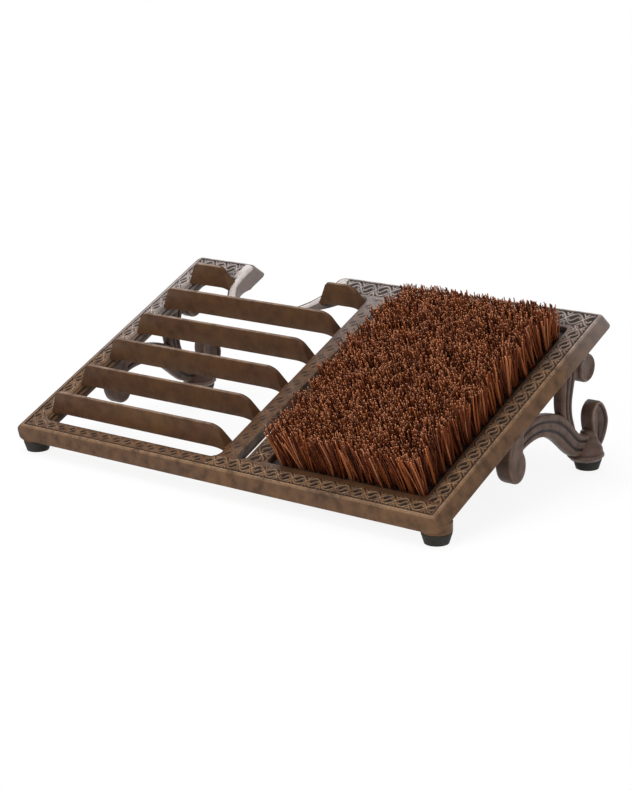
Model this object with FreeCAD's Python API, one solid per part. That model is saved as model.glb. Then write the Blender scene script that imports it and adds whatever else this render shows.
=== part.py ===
import FreeCAD, Part
import math
import os

from FreeCAD import Placement, Rotation, Vector

# A free-standing boot scraper: a sloping cast deck with upright scraper blades and a heel notch on the
# left, and a stiff brush on the right. It stands on two front bosses and two scrolled legs, with a
# rubber foot under each. Lengths are in millimetres, +Z is up and +Y runs from the low front edge to the
# high rear edge. The deck has axes of its own: u across, v up the slope, w out of its top face.

# Deck outline
deck_length = 238.4
deck_thickness = 11.0
slope_deg = 23.2
front_edge_height = 21.6
edge_flare = 4.6
top_corner_radius = 2.0
bottom_corner_radius = 4.0

# Rails and openings of the deck
front_rail_width = 12.5
left_rail_width = 14.5
scraper_opening_width = 174.5
right_rail_width = 17.2
rear_rail_width = 20.4
scraper_rail_width = 14.5
side_slot_width = 9.3
side_slot_front = 15.5
side_slot_end_gap = 3.0
side_slot_radius_share = 0.499
brush_rail_width = 17.9
brush_opening_width = 137.1
brush_opening_front = 18.0
scraper_corner_radius = 7.0
brush_corner_radius = 4.0

# Scraper blades, which are wedges that bridge the scraper opening
blade_rows = 6
blade_base = 9.2
blade_top = 2.2
blade_height = 17.0
blade_underside = 1.0
haunch_depth = 6.0
haunch_reach = 13.0
stub_haunch_reach = 9.0
first_blade_gap = 10.1
last_blade_gap = 5.7
blade_left_setback = 9.0
blade_right_setback = 4.2
stub_inner_overlap = 2.0
stub_inner_setback = 4.0

# Heel notch and its rim
notch_radius = 43.8
notch_rim_width = 7.2
notch_offset = 1.4
notch_centre_inset = 14.1
notch_inner_draft = 6.6
notch_outer_draft = 4.8
notch_mouth_radius = 6.0
notch_rim_depth = 6.5
notch_rim_run = 8.0

# Feet, front bosses and foot screws
rubber_height = 8.0
rubber_top_radius = 10.75
rubber_bottom_radius = 8.75
boss_radius = 11.0
boss_side_inset = 5.65
boss_front_inset = 12.0
foot_screw_radius = 2.5
foot_screw_length = 13.8
foot_head_radius = 4.2
foot_head_height = 2.8
foot_recess_radius = 4.8
foot_recess_depth = 4.0

# Legs
leg_thickness = 8.7
curl_thickness = 11.0
leg_side_inset = 4.45
leg_reach = 121.0
rear_foot_inset = 10.4
pad_radius = 13.5
pad_height = 6.5
top_curl_radius = 10.6
rear_curl_half_width = 12.39
rear_curl_half_height = 17.6
dowel_radius = 2.5
dowel_in_rail = 6.0
dowel_in_leg = 7.0

# Brush
brush_clearance = 0.6
brush_block_drop = 5.0
brush_flange_overlap = 9.0
brush_flange_thickness = 5.0
brush_screws_per_end = 3
brush_screw_radius = 2.0
brush_screw_grip = 6.0
brush_head_radius = 3.8
brush_head_height = 2.4
bristle_rows = 17
bristle_tip_height = 31.0
bristle_front_margin = 4.5
bristle_rear_margin = 9.0
bristle_side_margin = 4.5
bristle_splay = 2.2
bristle_row_gap_share = 0.16
bristle_tip_gap_share = 0.05

# Cutting shapes run past the solid that they cut by this much
overrun = 30.0

# Outline of a leg in shares: forward of the rear foot's centre by leg_reach, and up from the top of the
# rubber foot by the height of the deck's underside at the strut
lobe_shares = (
    (0.930, 0.585), (0.950, 0.455), (0.961, 0.330), (0.951, 0.238), (0.928, 0.168),
    (0.893, 0.124), (0.856, 0.110), (0.817, 0.131), (0.787, 0.188), (0.776, 0.264),
    (0.784, 0.343), (0.807, 0.404),
)
stem_rear_share = (0.790, 0.800)
stem_front_share = (0.930, 0.800)
arch_top_shares = (
    (0.860, 0.545), (0.766, 0.628), (0.667, 0.663), (0.522, 0.647), (0.374, 0.585),
    (0.260, 0.470), (0.190, 0.368), (0.121, 0.289), (0.031, 0.258), (-0.060, 0.240),
)
foot_rear_shares = ((-0.060, 0.240), (-0.122, 0.150), (-0.100, 0.040))
arch_under_shares = (
    (0.100, 0.040), (0.203, 0.140), (0.293, 0.238), (0.402, 0.330), (0.485, 0.394),
    (0.568, 0.443), (0.650, 0.461), (0.731, 0.449), (0.807, 0.404), (0.860, 0.420),
)
strut_front_shares = ((0.361, 0.500), (0.366, 0.780), (0.360, 1.200))
strut_rear_shares = (
    (0.105, 1.300), (0.120, 0.960), (0.190, 0.856), (0.232, 0.770), (0.249, 0.687),
    (0.250, 0.580), (0.244, 0.485),
)
top_curl_share = (0.088, 0.945)
rear_curl_share = (-0.080, 0.332)
stem_dowel_share = 0.857
strut_dowel_share = 0.295

# Places that follow from the sizes above
slope = math.radians(slope_deg)
scraper_side_width = left_rail_width + scraper_opening_width + scraper_rail_width
brush_side_width = brush_rail_width + brush_opening_width + right_rail_width
deck_width = scraper_side_width + side_slot_width + brush_side_width
deck_left = -deck_width / 2
deck_right = deck_width / 2
scraper_left = deck_left + left_rail_width
scraper_right = scraper_left + scraper_opening_width
slot_left = scraper_right + scraper_rail_width
slot_right = slot_left + side_slot_width
brush_left = slot_right + brush_rail_width
brush_right = brush_left + brush_opening_width
rear_edge = deck_length - rear_rail_width
notch_u = (scraper_left + scraper_right) / 2 + notch_offset
notch_v = deck_length - notch_centre_inset
notch_outer_radius = notch_radius + notch_rim_width
deck_placement = Placement(Vector(0, 0, front_edge_height), Rotation(Vector(1, 0, 0), slope_deg))
foot_y = deck_length * math.cos(slope) - rear_foot_inset


def under_height(y):
    """Height of the deck's underside above the ground at a distance y behind the front edge."""
    return front_edge_height + y * math.tan(slope) - deck_thickness / math.cos(slope)


def deck_v(y, w):
    """Distance up the slope of the point at ground distance y that lies w above the deck's top face."""
    return (y + w * math.sin(slope)) / math.cos(slope)


strut_y = foot_y - strut_dowel_share * leg_reach
stem_y = foot_y - stem_dowel_share * leg_reach
leg_rise = under_height(strut_y) - rubber_height


def placed(shape):
    """A copy of the shape carried by the deck's placement."""
    copy = shape.copy()
    copy.Placement = deck_placement.multiply(copy.Placement)
    return copy


def run_edge(points):
    """A straight line through two points, an arc through three or a smooth curve through more."""
    if len(points) == 2:
        return Part.LineSegment(*points).toShape()
    if len(points) == 3:
        return Part.Arc(*points).toShape()
    curve = Part.BSplineCurve()
    curve.interpolate(list(points))
    return curve.toShape()


def closed_face(runs):
    """A flat face bounded by runs of points that follow each other, closed by a last straight line."""
    edges = [run_edge(run) for run in runs]
    edges.append(Part.LineSegment(runs[-1][-1], runs[0][0]).toShape())
    return Part.Face(Part.Wire(edges))


def block(low, high):
    """A box between two corners."""
    size = high - low
    return Part.makeBox(size.x, size.y, size.z, low)


def rounded_rectangle(low_u, low_v, high_u, high_v, radius, w):
    """A closed wire with round corners at a height w."""
    bend = radius * (1 - math.sqrt(0.5))
    corners = (
        (low_u, low_v, 1, 1), (high_u, low_v, -1, 1), (high_u, high_v, -1, -1), (low_u, high_v, 1, -1),
    )
    arcs = []
    for index, (u, v, inward_u, inward_v) in enumerate(corners):
        along_v = Vector(u, v + inward_v * radius, w)
        along_u = Vector(u + inward_u * radius, v, w)
        middle = Vector(u + inward_u * bend, v + inward_v * bend, w)
        ends = (along_v, along_u) if index % 2 == 0 else (along_u, along_v)
        arcs.append((ends[0], middle, ends[1]))
    edges = []
    for index, arc in enumerate(arcs):
        edges.append(Part.Arc(*arc).toShape())
        edges.append(Part.LineSegment(arc[2], arcs[(index + 1) % len(arcs)][0]).toShape())
    return Part.Wire(edges)


def straight_opening(low_u, low_v, high_u, high_v, radius):
    """A cutting prism through the deck with round corners."""
    wire = rounded_rectangle(low_u, low_v, high_u, high_v, radius, -deck_thickness - overrun)
    return Part.Face(wire).extrude(Vector(0, 0, deck_thickness + 2 * overrun))


def whole_plate():
    """The deck without its openings, with sides that flare out towards the underside."""
    top = rounded_rectangle(deck_left, 0, deck_right, deck_length, top_corner_radius, 0)
    bottom = rounded_rectangle(
        deck_left - edge_flare, -edge_flare, deck_right + edge_flare, deck_length + edge_flare,
        bottom_corner_radius, -deck_thickness,
    )
    return Part.makeLoft([bottom, top], True, True)


def notch_wire(radius, mouth_radius, end_v, mouth_v, w):
    """A U open to the rear, whose arms bend outwards at the mouth if it has a mouth radius."""
    left = notch_u - radius
    right = notch_u + radius
    bottom = Vector(notch_u, notch_v - radius, w)
    edges = [Part.Arc(Vector(left, notch_v, w), bottom, Vector(right, notch_v, w)).toShape()]
    if mouth_radius:
        bend = mouth_radius * (1 - math.sqrt(0.5))
        start_v = mouth_v - mouth_radius
        points = (
            Vector(right, notch_v, w),
            Vector(right, start_v, w),
            Vector(right + bend, mouth_v - bend, w),
            Vector(right + mouth_radius, mouth_v, w),
            Vector(right + mouth_radius, end_v, w),
            Vector(left - mouth_radius, end_v, w),
            Vector(left - mouth_radius, mouth_v, w),
            Vector(left - bend, mouth_v - bend, w),
            Vector(left, start_v, w),
            Vector(left, notch_v, w),
        )
        edges.append(Part.LineSegment(points[0], points[1]).toShape())
        edges.append(Part.Arc(points[1], points[2], points[3]).toShape())
        for start, end in zip(points[3:6], points[4:7]):
            edges.append(Part.LineSegment(start, end).toShape())
        edges.append(Part.Arc(points[6], points[7], points[8]).toShape())
        edges.append(Part.LineSegment(points[8], points[9]).toShape())
        return Part.Wire(edges)
    points = (
        Vector(right, notch_v, w), Vector(right, end_v, w), Vector(left, end_v, w), Vector(left, notch_v, w),
    )
    for start, end in zip(points, points[1:]):
        edges.append(Part.LineSegment(start, end).toShape())
    return Part.Wire(edges)


def notch_outside():
    """The space inside the rim's outer wall, which widens towards the underside."""
    end_v = deck_length + overrun
    top = notch_wire(notch_outer_radius, 0, end_v, end_v, 0)
    bottom = notch_wire(notch_outer_radius + notch_outer_draft, 0, end_v, end_v, -deck_thickness)
    return Part.makeLoft([bottom, top], True, True)


def rim_relief():
    """What lies below the rim's underside, which is shallow in front and meets the rear rails at full depth."""
    low_w = -deck_thickness - overrun
    front_v = notch_v - notch_outer_radius - overrun
    points = [
        Vector(deck_left, front_v, low_w),
        Vector(deck_left, front_v, -notch_rim_depth),
        Vector(deck_left, rear_edge - notch_rim_run, -notch_rim_depth),
        Vector(deck_left, rear_edge, -deck_thickness),
        Vector(deck_left, rear_edge, low_w),
    ]
    return Part.Face(Part.makePolygon(points + points[:1])).extrude(Vector(deck_width, 0, 0))


def notch_inside():
    """The space that the heel goes into, which narrows towards the underside."""
    end_v = deck_length + overrun
    top = notch_wire(notch_radius, notch_mouth_radius, end_v, deck_length, 0)
    bottom = notch_wire(
        notch_radius - notch_inner_draft, notch_mouth_radius, end_v, deck_length + edge_flare,
        -deck_thickness,
    )
    return Part.makeLoft([bottom, top], True, True)


def deck_openings():
    """The scraper opening, the side slot and the brush opening."""
    slot_end = rear_edge - side_slot_end_gap
    return [
        straight_opening(scraper_left, front_rail_width, scraper_right, rear_edge, scraper_corner_radius),
        straight_opening(slot_left, side_slot_front, slot_right, slot_end, side_slot_width * side_slot_radius_share),
        straight_opening(brush_left, brush_opening_front, brush_right, rear_edge, brush_corner_radius),
    ]


def boss(side):
    """The round boss under a front corner, up to the deck's underside."""
    centre = Vector(side * (deck_right - boss_side_inset), boss_front_inset, rubber_height)
    cylinder = Part.makeCylinder(boss_radius, front_edge_height + overrun, centre)
    above = placed(
        block(
            Vector(deck_left - overrun, -overrun, -deck_thickness),
            Vector(deck_right + overrun, deck_length + overrun, 2 * overrun),
        )
    )
    return cylinder.cut(above)


def foot_centres():
    """The four rubber feet: their names and the points under their centres."""
    front_u = deck_right - boss_side_inset
    rear_u = deck_right - leg_side_inset
    return {
        "front_left": Vector(-front_u, boss_front_inset, 0),
        "front_right": Vector(front_u, boss_front_inset, 0),
        "rear_left": Vector(-rear_u, foot_y, 0),
        "rear_right": Vector(rear_u, foot_y, 0),
    }


def foot_screw(centre):
    """A pan head screw that holds a rubber foot."""
    head_z = foot_recess_depth - foot_head_height
    head = Part.makeCylinder(foot_head_radius, foot_head_height, centre + Vector(0, 0, head_z))
    shank = Part.makeCylinder(
        foot_screw_radius, foot_screw_length, centre + Vector(0, 0, foot_recess_depth)
    )
    return head.fuse(shank).removeSplitter()


def rubber_foot(centre):
    """A tapered rubber foot with a recess for its screw."""
    cone = Part.makeCone(rubber_bottom_radius, rubber_top_radius, rubber_height, centre)
    recess = Part.makeCylinder(foot_recess_radius, foot_recess_depth, centre)
    bore = Part.makeCylinder(foot_screw_radius, rubber_height, centre)
    return cone.cut(recess.fuse(bore))


def dowel(side, y):
    """A dowel that stands square to the deck's underside, half in the rail and half in the leg."""
    start_w = -deck_thickness - dowel_in_leg
    centre = Vector(side * (deck_right - leg_side_inset), deck_v(y, start_w), start_w)
    return placed(Part.makeCylinder(dowel_radius, dowel_in_leg + dowel_in_rail, centre))


def leg_point(share):
    """A point of the leg's outline, in the plane x = 0."""
    return Vector(0, foot_y - share[0] * leg_reach, rubber_height + share[1] * leg_rise)


def leg_run(shares):
    """The points of one run of the leg's outline."""
    return [leg_point(share) for share in shares]


def slab(face, thickness):
    """A flat face in the plane x = 0, thickened evenly to both sides."""
    solid = face.extrude(Vector(thickness, 0, 0))
    solid.translate(Vector(-thickness / 2, 0, 0))
    return solid


def disc(centre, half_width, half_height, thickness):
    """A round or oval curl in the plane x = 0."""
    if half_height > half_width:
        ellipse = Part.Ellipse(centre + Vector(0, 0, half_height), centre + Vector(0, half_width, 0), centre)
        edge = ellipse.toShape()
    else:
        edge = Part.makeCircle(half_width, centre, Vector(1, 0, 0))
    return slab(Part.Face(Part.Wire([edge])), thickness)


def leg(side):
    """A scrolled leg: front lobe and stem, arch, strut, two curls and the pad over the rubber foot."""
    lobe = slab(closed_face([leg_run(lobe_shares), leg_run((lobe_shares[-1], stem_rear_share)),
                             leg_run((stem_rear_share, stem_front_share))]), curl_thickness)
    arch = slab(closed_face([leg_run(arch_top_shares), leg_run(foot_rear_shares),
                             leg_run((foot_rear_shares[-1], arch_under_shares[0])),
                             leg_run(arch_under_shares)]), leg_thickness)
    strut = slab(closed_face([leg_run(strut_front_shares),
                              leg_run((strut_front_shares[-1], strut_rear_shares[0])),
                              leg_run(strut_rear_shares)]), leg_thickness)
    top_curl = disc(leg_point(top_curl_share), top_curl_radius, top_curl_radius, curl_thickness)
    rear_curl = disc(leg_point(rear_curl_share), rear_curl_half_width, rear_curl_half_height, curl_thickness)
    pad = Part.makeCylinder(pad_radius, pad_height, Vector(0, foot_y, rubber_height))
    shape = lobe.multiFuse([arch, strut, top_curl, rear_curl, pad])
    shape.translate(Vector(side * (deck_right - leg_side_inset), 0, 0))
    above = placed(
        block(
            Vector(deck_left - overrun, -overrun, -deck_thickness),
            Vector(deck_right + overrun, deck_length + overrun, deck_length),
        )
    )
    return shape.cut(above).removeSplitter()


def blade_section(back_v, low_w):
    """The wedge that all blades share, as a long prism across the deck."""
    middle = back_v - blade_base / 2
    points = [
        Vector(deck_left, middle - blade_base / 2, low_w),
        Vector(deck_left, middle - blade_base / 2, 0),
        Vector(deck_left, middle - blade_top / 2, blade_height),
        Vector(deck_left, middle + blade_top / 2, blade_height),
        Vector(deck_left, middle + blade_base / 2, 0),
        Vector(deck_left, middle + blade_base / 2, low_w),
    ]
    wire = Part.makePolygon(points + points[:1])
    return Part.Face(wire).extrude(Vector(deck_width, 0, 0))


def blade(back_v, left_u, right_u, left_top_u, right_top_u, left_reach, right_reach):
    """A blade between two end places, with haunches below its ends and a free underside between them."""
    front_v = back_v - blade_base - overrun
    ease = 1 - math.sqrt(0.5)
    drop = haunch_depth - blade_underside

    def point(u, w):
        return Vector(u, front_v, w)

    left_haunch = (
        point(left_u, -haunch_depth),
        point(left_u + left_reach * ease, -blade_underside - drop * ease),
        point(left_u + left_reach, -blade_underside),
    )
    right_haunch = (
        point(right_u - right_reach, -blade_underside),
        point(right_u - right_reach * ease, -blade_underside - drop * ease),
        point(right_u, -haunch_depth),
    )
    face = closed_face([
        left_haunch,
        (left_haunch[-1], right_haunch[0]),
        right_haunch,
        (right_haunch[-1], point(right_u, 0)),
        (point(right_u, 0), point(right_top_u, blade_height)),
        (point(right_top_u, blade_height), point(left_top_u, blade_height)),
        (point(left_top_u, blade_height), point(left_u, 0)),
    ])
    web = face.extrude(Vector(0, 2 * overrun + blade_base, 0))
    return web.common(blade_section(back_v, -haunch_depth))


def frame_nodes():
    """The cast frame as its rails and the rim of the heel notch, in the deck's own axes."""
    plate = whole_plate()
    rim = notch_outside().common(plate).cut(notch_inside()).cut(rim_relief())
    rails = plate.cut(deck_openings()[0].multiFuse(deck_openings()[1:])).cut(notch_outside())
    low_w = -deck_thickness - overrun
    left_end = deck_left - overrun
    right_end = deck_right + overrun
    front_end = -overrun
    rear_end = deck_length + overrun
    scraper_middle = (scraper_left + scraper_right) / 2
    slot_middle = (slot_left + slot_right) / 2
    brush_middle = (brush_left + brush_right) / 2
    regions = {
        "front_rail": (left_end, front_end, right_end, brush_opening_front),
        "left_rail": (left_end, brush_opening_front, scraper_middle, rear_edge),
        "scraper_rail": (scraper_middle, brush_opening_front, slot_middle, rear_edge),
        "brush_rail": (slot_middle, brush_opening_front, brush_middle, rear_edge),
        "right_rail": (brush_middle, brush_opening_front, right_end, rear_edge),
        "rear_rail_left": (left_end, rear_edge, notch_u, rear_end),
        "rear_rail_right": (notch_u, rear_edge, right_end, rear_end),
    }
    nodes = {"heel_notch_rim": rim}
    for name, (low_u, low_v, high_u, high_v) in regions.items():
        nodes[name] = rails.common(block(Vector(low_u, low_v, low_w), Vector(high_u, high_v, overrun)))
    return nodes


def blade_nodes(rim):
    """Five full blades and the two stubs beside the heel notch, in the deck's own axes."""
    first_back = front_rail_width + first_blade_gap + blade_base
    pitch = (rear_edge - last_blade_gap - first_back) / (blade_rows - 1)
    nodes = {}
    for row in range(blade_rows - 1):
        back_v = first_back + row * pitch
        full = blade(
            back_v, scraper_left, scraper_right, scraper_left + blade_left_setback,
            scraper_right - blade_right_setback, haunch_reach, haunch_reach,
        )
        nodes[f"scraper_blade_{row + 1}"] = full.cut(rim)
    back_v = first_back + (blade_rows - 1) * pitch
    to_front = notch_v - back_v + blade_base
    meet = math.sqrt(notch_outer_radius ** 2 - to_front ** 2) - stub_inner_overlap
    left_stub = blade(
        back_v, scraper_left, notch_u - meet, scraper_left + blade_left_setback,
        notch_u - meet - stub_inner_setback, stub_haunch_reach, stub_haunch_reach,
    )
    right_stub = blade(
        back_v, notch_u + meet, scraper_right, notch_u + meet + blade_left_setback,
        scraper_right - blade_right_setback, stub_haunch_reach, stub_haunch_reach,
    )
    nodes["stub_blade_left"] = left_stub.cut(rim)
    nodes["stub_blade_right"] = right_stub.cut(rim)
    return nodes


def brush_screw_places():
    """The points on the deck's underside where the brush screws go in, in the deck's own axes."""
    spacing = brush_opening_width / brush_screws_per_end
    front_v = brush_opening_front - brush_flange_overlap / 2
    rear_v = rear_edge + brush_flange_overlap / 2
    places = []
    for v in (front_v, rear_v):
        for index in range(brush_screws_per_end):
            places.append(Vector(brush_left + (index + 1 / 2) * spacing, v, -deck_thickness))
    return places


def brush_screw(place):
    """A pan head screw up through the brush block's flange into the rail."""
    under = place - Vector(0, 0, brush_flange_thickness)
    shank = Part.makeCylinder(brush_screw_radius, brush_flange_thickness + brush_screw_grip, under)
    head = Part.makeCylinder(brush_head_radius, brush_head_height, under - Vector(0, 0, brush_head_height))
    return shank.fuse(head).removeSplitter()


def brush_block():
    """The block that carries the tufts, with a flange under the front rail and one under the rear."""
    low_w = -deck_thickness - brush_flange_thickness
    outline = rounded_rectangle(
        brush_left + brush_clearance, brush_opening_front + brush_clearance, brush_right - brush_clearance,
        rear_edge - brush_clearance, brush_corner_radius, low_w,
    )
    body = Part.Face(outline).extrude(Vector(0, 0, -brush_block_drop - low_w))
    flange = block(
        Vector(brush_left + brush_clearance, brush_opening_front - brush_flange_overlap, low_w),
        Vector(brush_right - brush_clearance, rear_edge + brush_flange_overlap, -deck_thickness),
    )
    holes = [
        Part.makeCylinder(
            brush_screw_radius, brush_flange_thickness + overrun,
            place - Vector(0, 0, brush_flange_thickness + overrun / 2),
        )
        for place in brush_screw_places()
    ]
    return body.fuse(flange).removeSplitter().cut(holes[0].multiFuse(holes[1:]))


def bristle_row(index):
    """One row of tufts as a closed solid that splays a little towards its tips."""
    first_v = brush_opening_front + bristle_front_margin
    pitch = (rear_edge - bristle_rear_margin - first_v) / bristle_rows
    low_u = brush_left + bristle_side_margin
    high_u = brush_right - bristle_side_margin
    wires = []
    for w, splay, gap_share in (
        (-brush_block_drop, 0, bristle_row_gap_share),
        (bristle_tip_height, bristle_splay, bristle_tip_gap_share),
    ):
        low_v = first_v + (index + gap_share / 2) * pitch
        high_v = first_v + (index + 1 - gap_share / 2) * pitch
        corners = (
            Vector(low_u - splay, low_v, w), Vector(high_u + splay, low_v, w),
            Vector(high_u + splay, high_v, w), Vector(low_u - splay, high_v, w),
        )
        wires.append(Part.makePolygon(corners + corners[:1]))
    return Part.makeLoft(wires, True, True)


def assembly():
    """All nodes by name, standing on the plane z = 0 behind the line of the front edge."""
    frame = frame_nodes()
    rim = frame["heel_notch_rim"]
    blades = blade_nodes(rim)
    dowels = [dowel(side, y) for side in (-1, 1) for y in (stem_y, strut_y)]
    screws = [placed(brush_screw(place)) for place in brush_screw_places()]
    feet = foot_centres()
    foot_screws = [foot_screw(centre) for centre in feet.values()]
    nodes = {name: placed(shape) for name, shape in {**frame, **blades}.items()}
    nodes["brush_block"] = placed(brush_block())
    nodes["brush_screws"] = Part.Compound(screws)
    for index in range(bristle_rows):
        nodes[f"bristle_row_{index + 1:02d}"] = placed(bristle_row(index))
    bosses = [boss(side) for side in (-1, 1)]
    nodes["front_rail"] = nodes["front_rail"].multiFuse(bosses).removeSplitter()
    for name, side in (("left_leg", -1), ("right_leg", 1)):
        nodes[name] = leg(side)
    for name, centre in feet.items():
        nodes[f"rubber_foot_{name}"] = rubber_foot(centre)
    nodes["foot_screws"] = Part.Compound(foot_screws)
    nodes["leg_dowels"] = Part.Compound(dowels)
    fixings = {
        "front_rail": foot_screws + screws,
        "rear_rail_right": screws,
        "left_rail": dowels,
        "right_rail": dowels,
        "left_leg": dowels + foot_screws,
        "right_leg": dowels + foot_screws,
    }
    for name, tools in fixings.items():
        nodes[name] = nodes[name].cut(tools[0].multiFuse(tools[1:]))
    return nodes


def centred(nodes):
    """The nodes moved so that the origin lies under the middle of the whole part."""
    bounds = Part.Compound(list(nodes.values())).optimalBoundingBox(False, False)
    shift = Vector(-(bounds.XMin + bounds.XMax) / 2, -(bounds.YMin + bounds.YMax) / 2, 0)
    moved = {}
    for name, shape in nodes.items():
        copy = shape.copy()
        copy.translate(shift)
        moved[name] = copy
    print("moved by", shift)
    return moved


def main():
    """Builds every node and writes it to its own file."""
    os.makedirs("parts", exist_ok=True)
    for name, shape in centred(assembly()).items():
        shape.exportStep(os.path.join("parts", f"{name}.step"))
        print(name, len(shape.Solids), "solids", round(shape.Volume), "mm3", shape.isValid())


main()
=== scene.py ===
"""Looks of a free-standing boot scraper.

A sloping cast iron deck carries upright scraper blades and a heel notch on one side and a stiff fibre brush
on the other. It stands on scrolled side legs and round bosses, with a rubber foot under each.
"""

from __future__ import annotations

import logging
import math
import random
from dataclasses import dataclass, field
from enum import Enum
from typing import Iterable, Sequence

import bmesh
import bpy
import numpy as np
from mathutils import Matrix, Vector


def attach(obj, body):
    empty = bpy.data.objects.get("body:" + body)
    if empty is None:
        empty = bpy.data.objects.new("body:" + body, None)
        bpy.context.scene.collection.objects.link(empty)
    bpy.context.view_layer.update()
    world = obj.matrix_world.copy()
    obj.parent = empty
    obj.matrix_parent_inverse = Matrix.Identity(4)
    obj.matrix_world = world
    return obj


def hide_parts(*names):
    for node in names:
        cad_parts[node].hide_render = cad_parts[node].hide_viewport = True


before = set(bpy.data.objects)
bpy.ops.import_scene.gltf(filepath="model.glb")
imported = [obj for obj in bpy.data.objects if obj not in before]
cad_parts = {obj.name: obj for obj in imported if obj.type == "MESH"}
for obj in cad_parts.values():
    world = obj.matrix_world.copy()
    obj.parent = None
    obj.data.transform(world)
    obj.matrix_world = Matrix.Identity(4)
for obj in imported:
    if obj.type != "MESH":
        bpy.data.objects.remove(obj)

LOG = logging.getLogger("boot_scraper")
Array = np.ndarray
Colour = tuple[float, float, float]
Shares = tuple[tuple[float, float], ...]
METRES_PER_MM = 0.001
# Place of the deck's front top edge along Y in the row frame, in millimetres.
FRONT_EDGE_Y = -115.396
# The paint's number where the casting is neither hollow nor rubbed.
PLAIN = 0.5


class Side(Enum):
    """The two sides of the scraper, seen from its low front edge."""

    LEFT = -1
    RIGHT = 1


class Slot(Enum):
    """The record's material slots that the modelled pieces use."""

    IRON = "iron"
    RUBBER = "rubber"
    FIBRE = "fibre"


@dataclass(frozen=True)
class Deck:
    """Sizes of the deck in millimetres: u runs across, v up the slope and w out of its top face."""

    slope_deg: float = 23.2
    front_height: float = 21.6
    half_width: float = 192.5
    length: float = 238.4
    thickness: float = 11.0
    flare: float = 4.6
    corner_radius: float = 2.0
    front_rail: float = 12.5
    scraper_left: float = -178.0
    scraper_right: float = -3.5
    scraper_corner: float = 7.0
    slot_left: float = 11.0
    slot_right: float = 20.3
    slot_front: float = 15.5
    slot_rear: float = 215.0
    brush_left: float = 38.2
    brush_right: float = 175.3
    brush_front: float = 18.0
    brush_corner: float = 4.0
    rear_edge: float = 218.0
    notch_u: float = -89.35
    notch_v: float = 224.3
    notch_radius: float = 43.8
    notch_rim: float = 7.2
    notch_mouth: float = 6.0
    notch_inner_draft: float = 5.2
    notch_outer_draft: float = 4.8
    notch_depth: float = 4.8
    notch_run: float = 20.0
    front_foot_inset: float = 5.65
    front_foot_y: float = 12.0
    rear_foot_inset: float = 4.45
    rear_foot_y: float = 208.72

    @property
    def rim_radius(self) -> float:
        """Outer radius of the heel notch's rim."""
        return self.notch_radius + self.notch_rim

    def matrix(self) -> Matrix:
        """From the deck's own millimetres to the row frame's metres."""
        place = Matrix.Translation((0.0, FRONT_EDGE_Y, self.front_height))
        turn = Matrix.Rotation(math.radians(self.slope_deg), 4, "X")
        return Matrix.Scale(METRES_PER_MM, 4) @ place @ turn

    def height_above_floor(self, v: float, w: float) -> float:
        """Height in millimetres above the floor of a point on the deck."""
        angle = math.radians(self.slope_deg)
        return self.front_height + v * math.sin(angle) + w * math.cos(angle)


def upright_matrix() -> Matrix:
    """From millimetres with an upright z, y counted from the deck's front edge, to the row frame's metres."""
    return Matrix.Scale(METRES_PER_MM, 4) @ Matrix.Translation((0.0, FRONT_EDGE_Y, 0.0))


def limited(value: float) -> float:
    """A number kept between 0 and 1."""
    return min(max(value, 0.0), 1.0)


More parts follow.
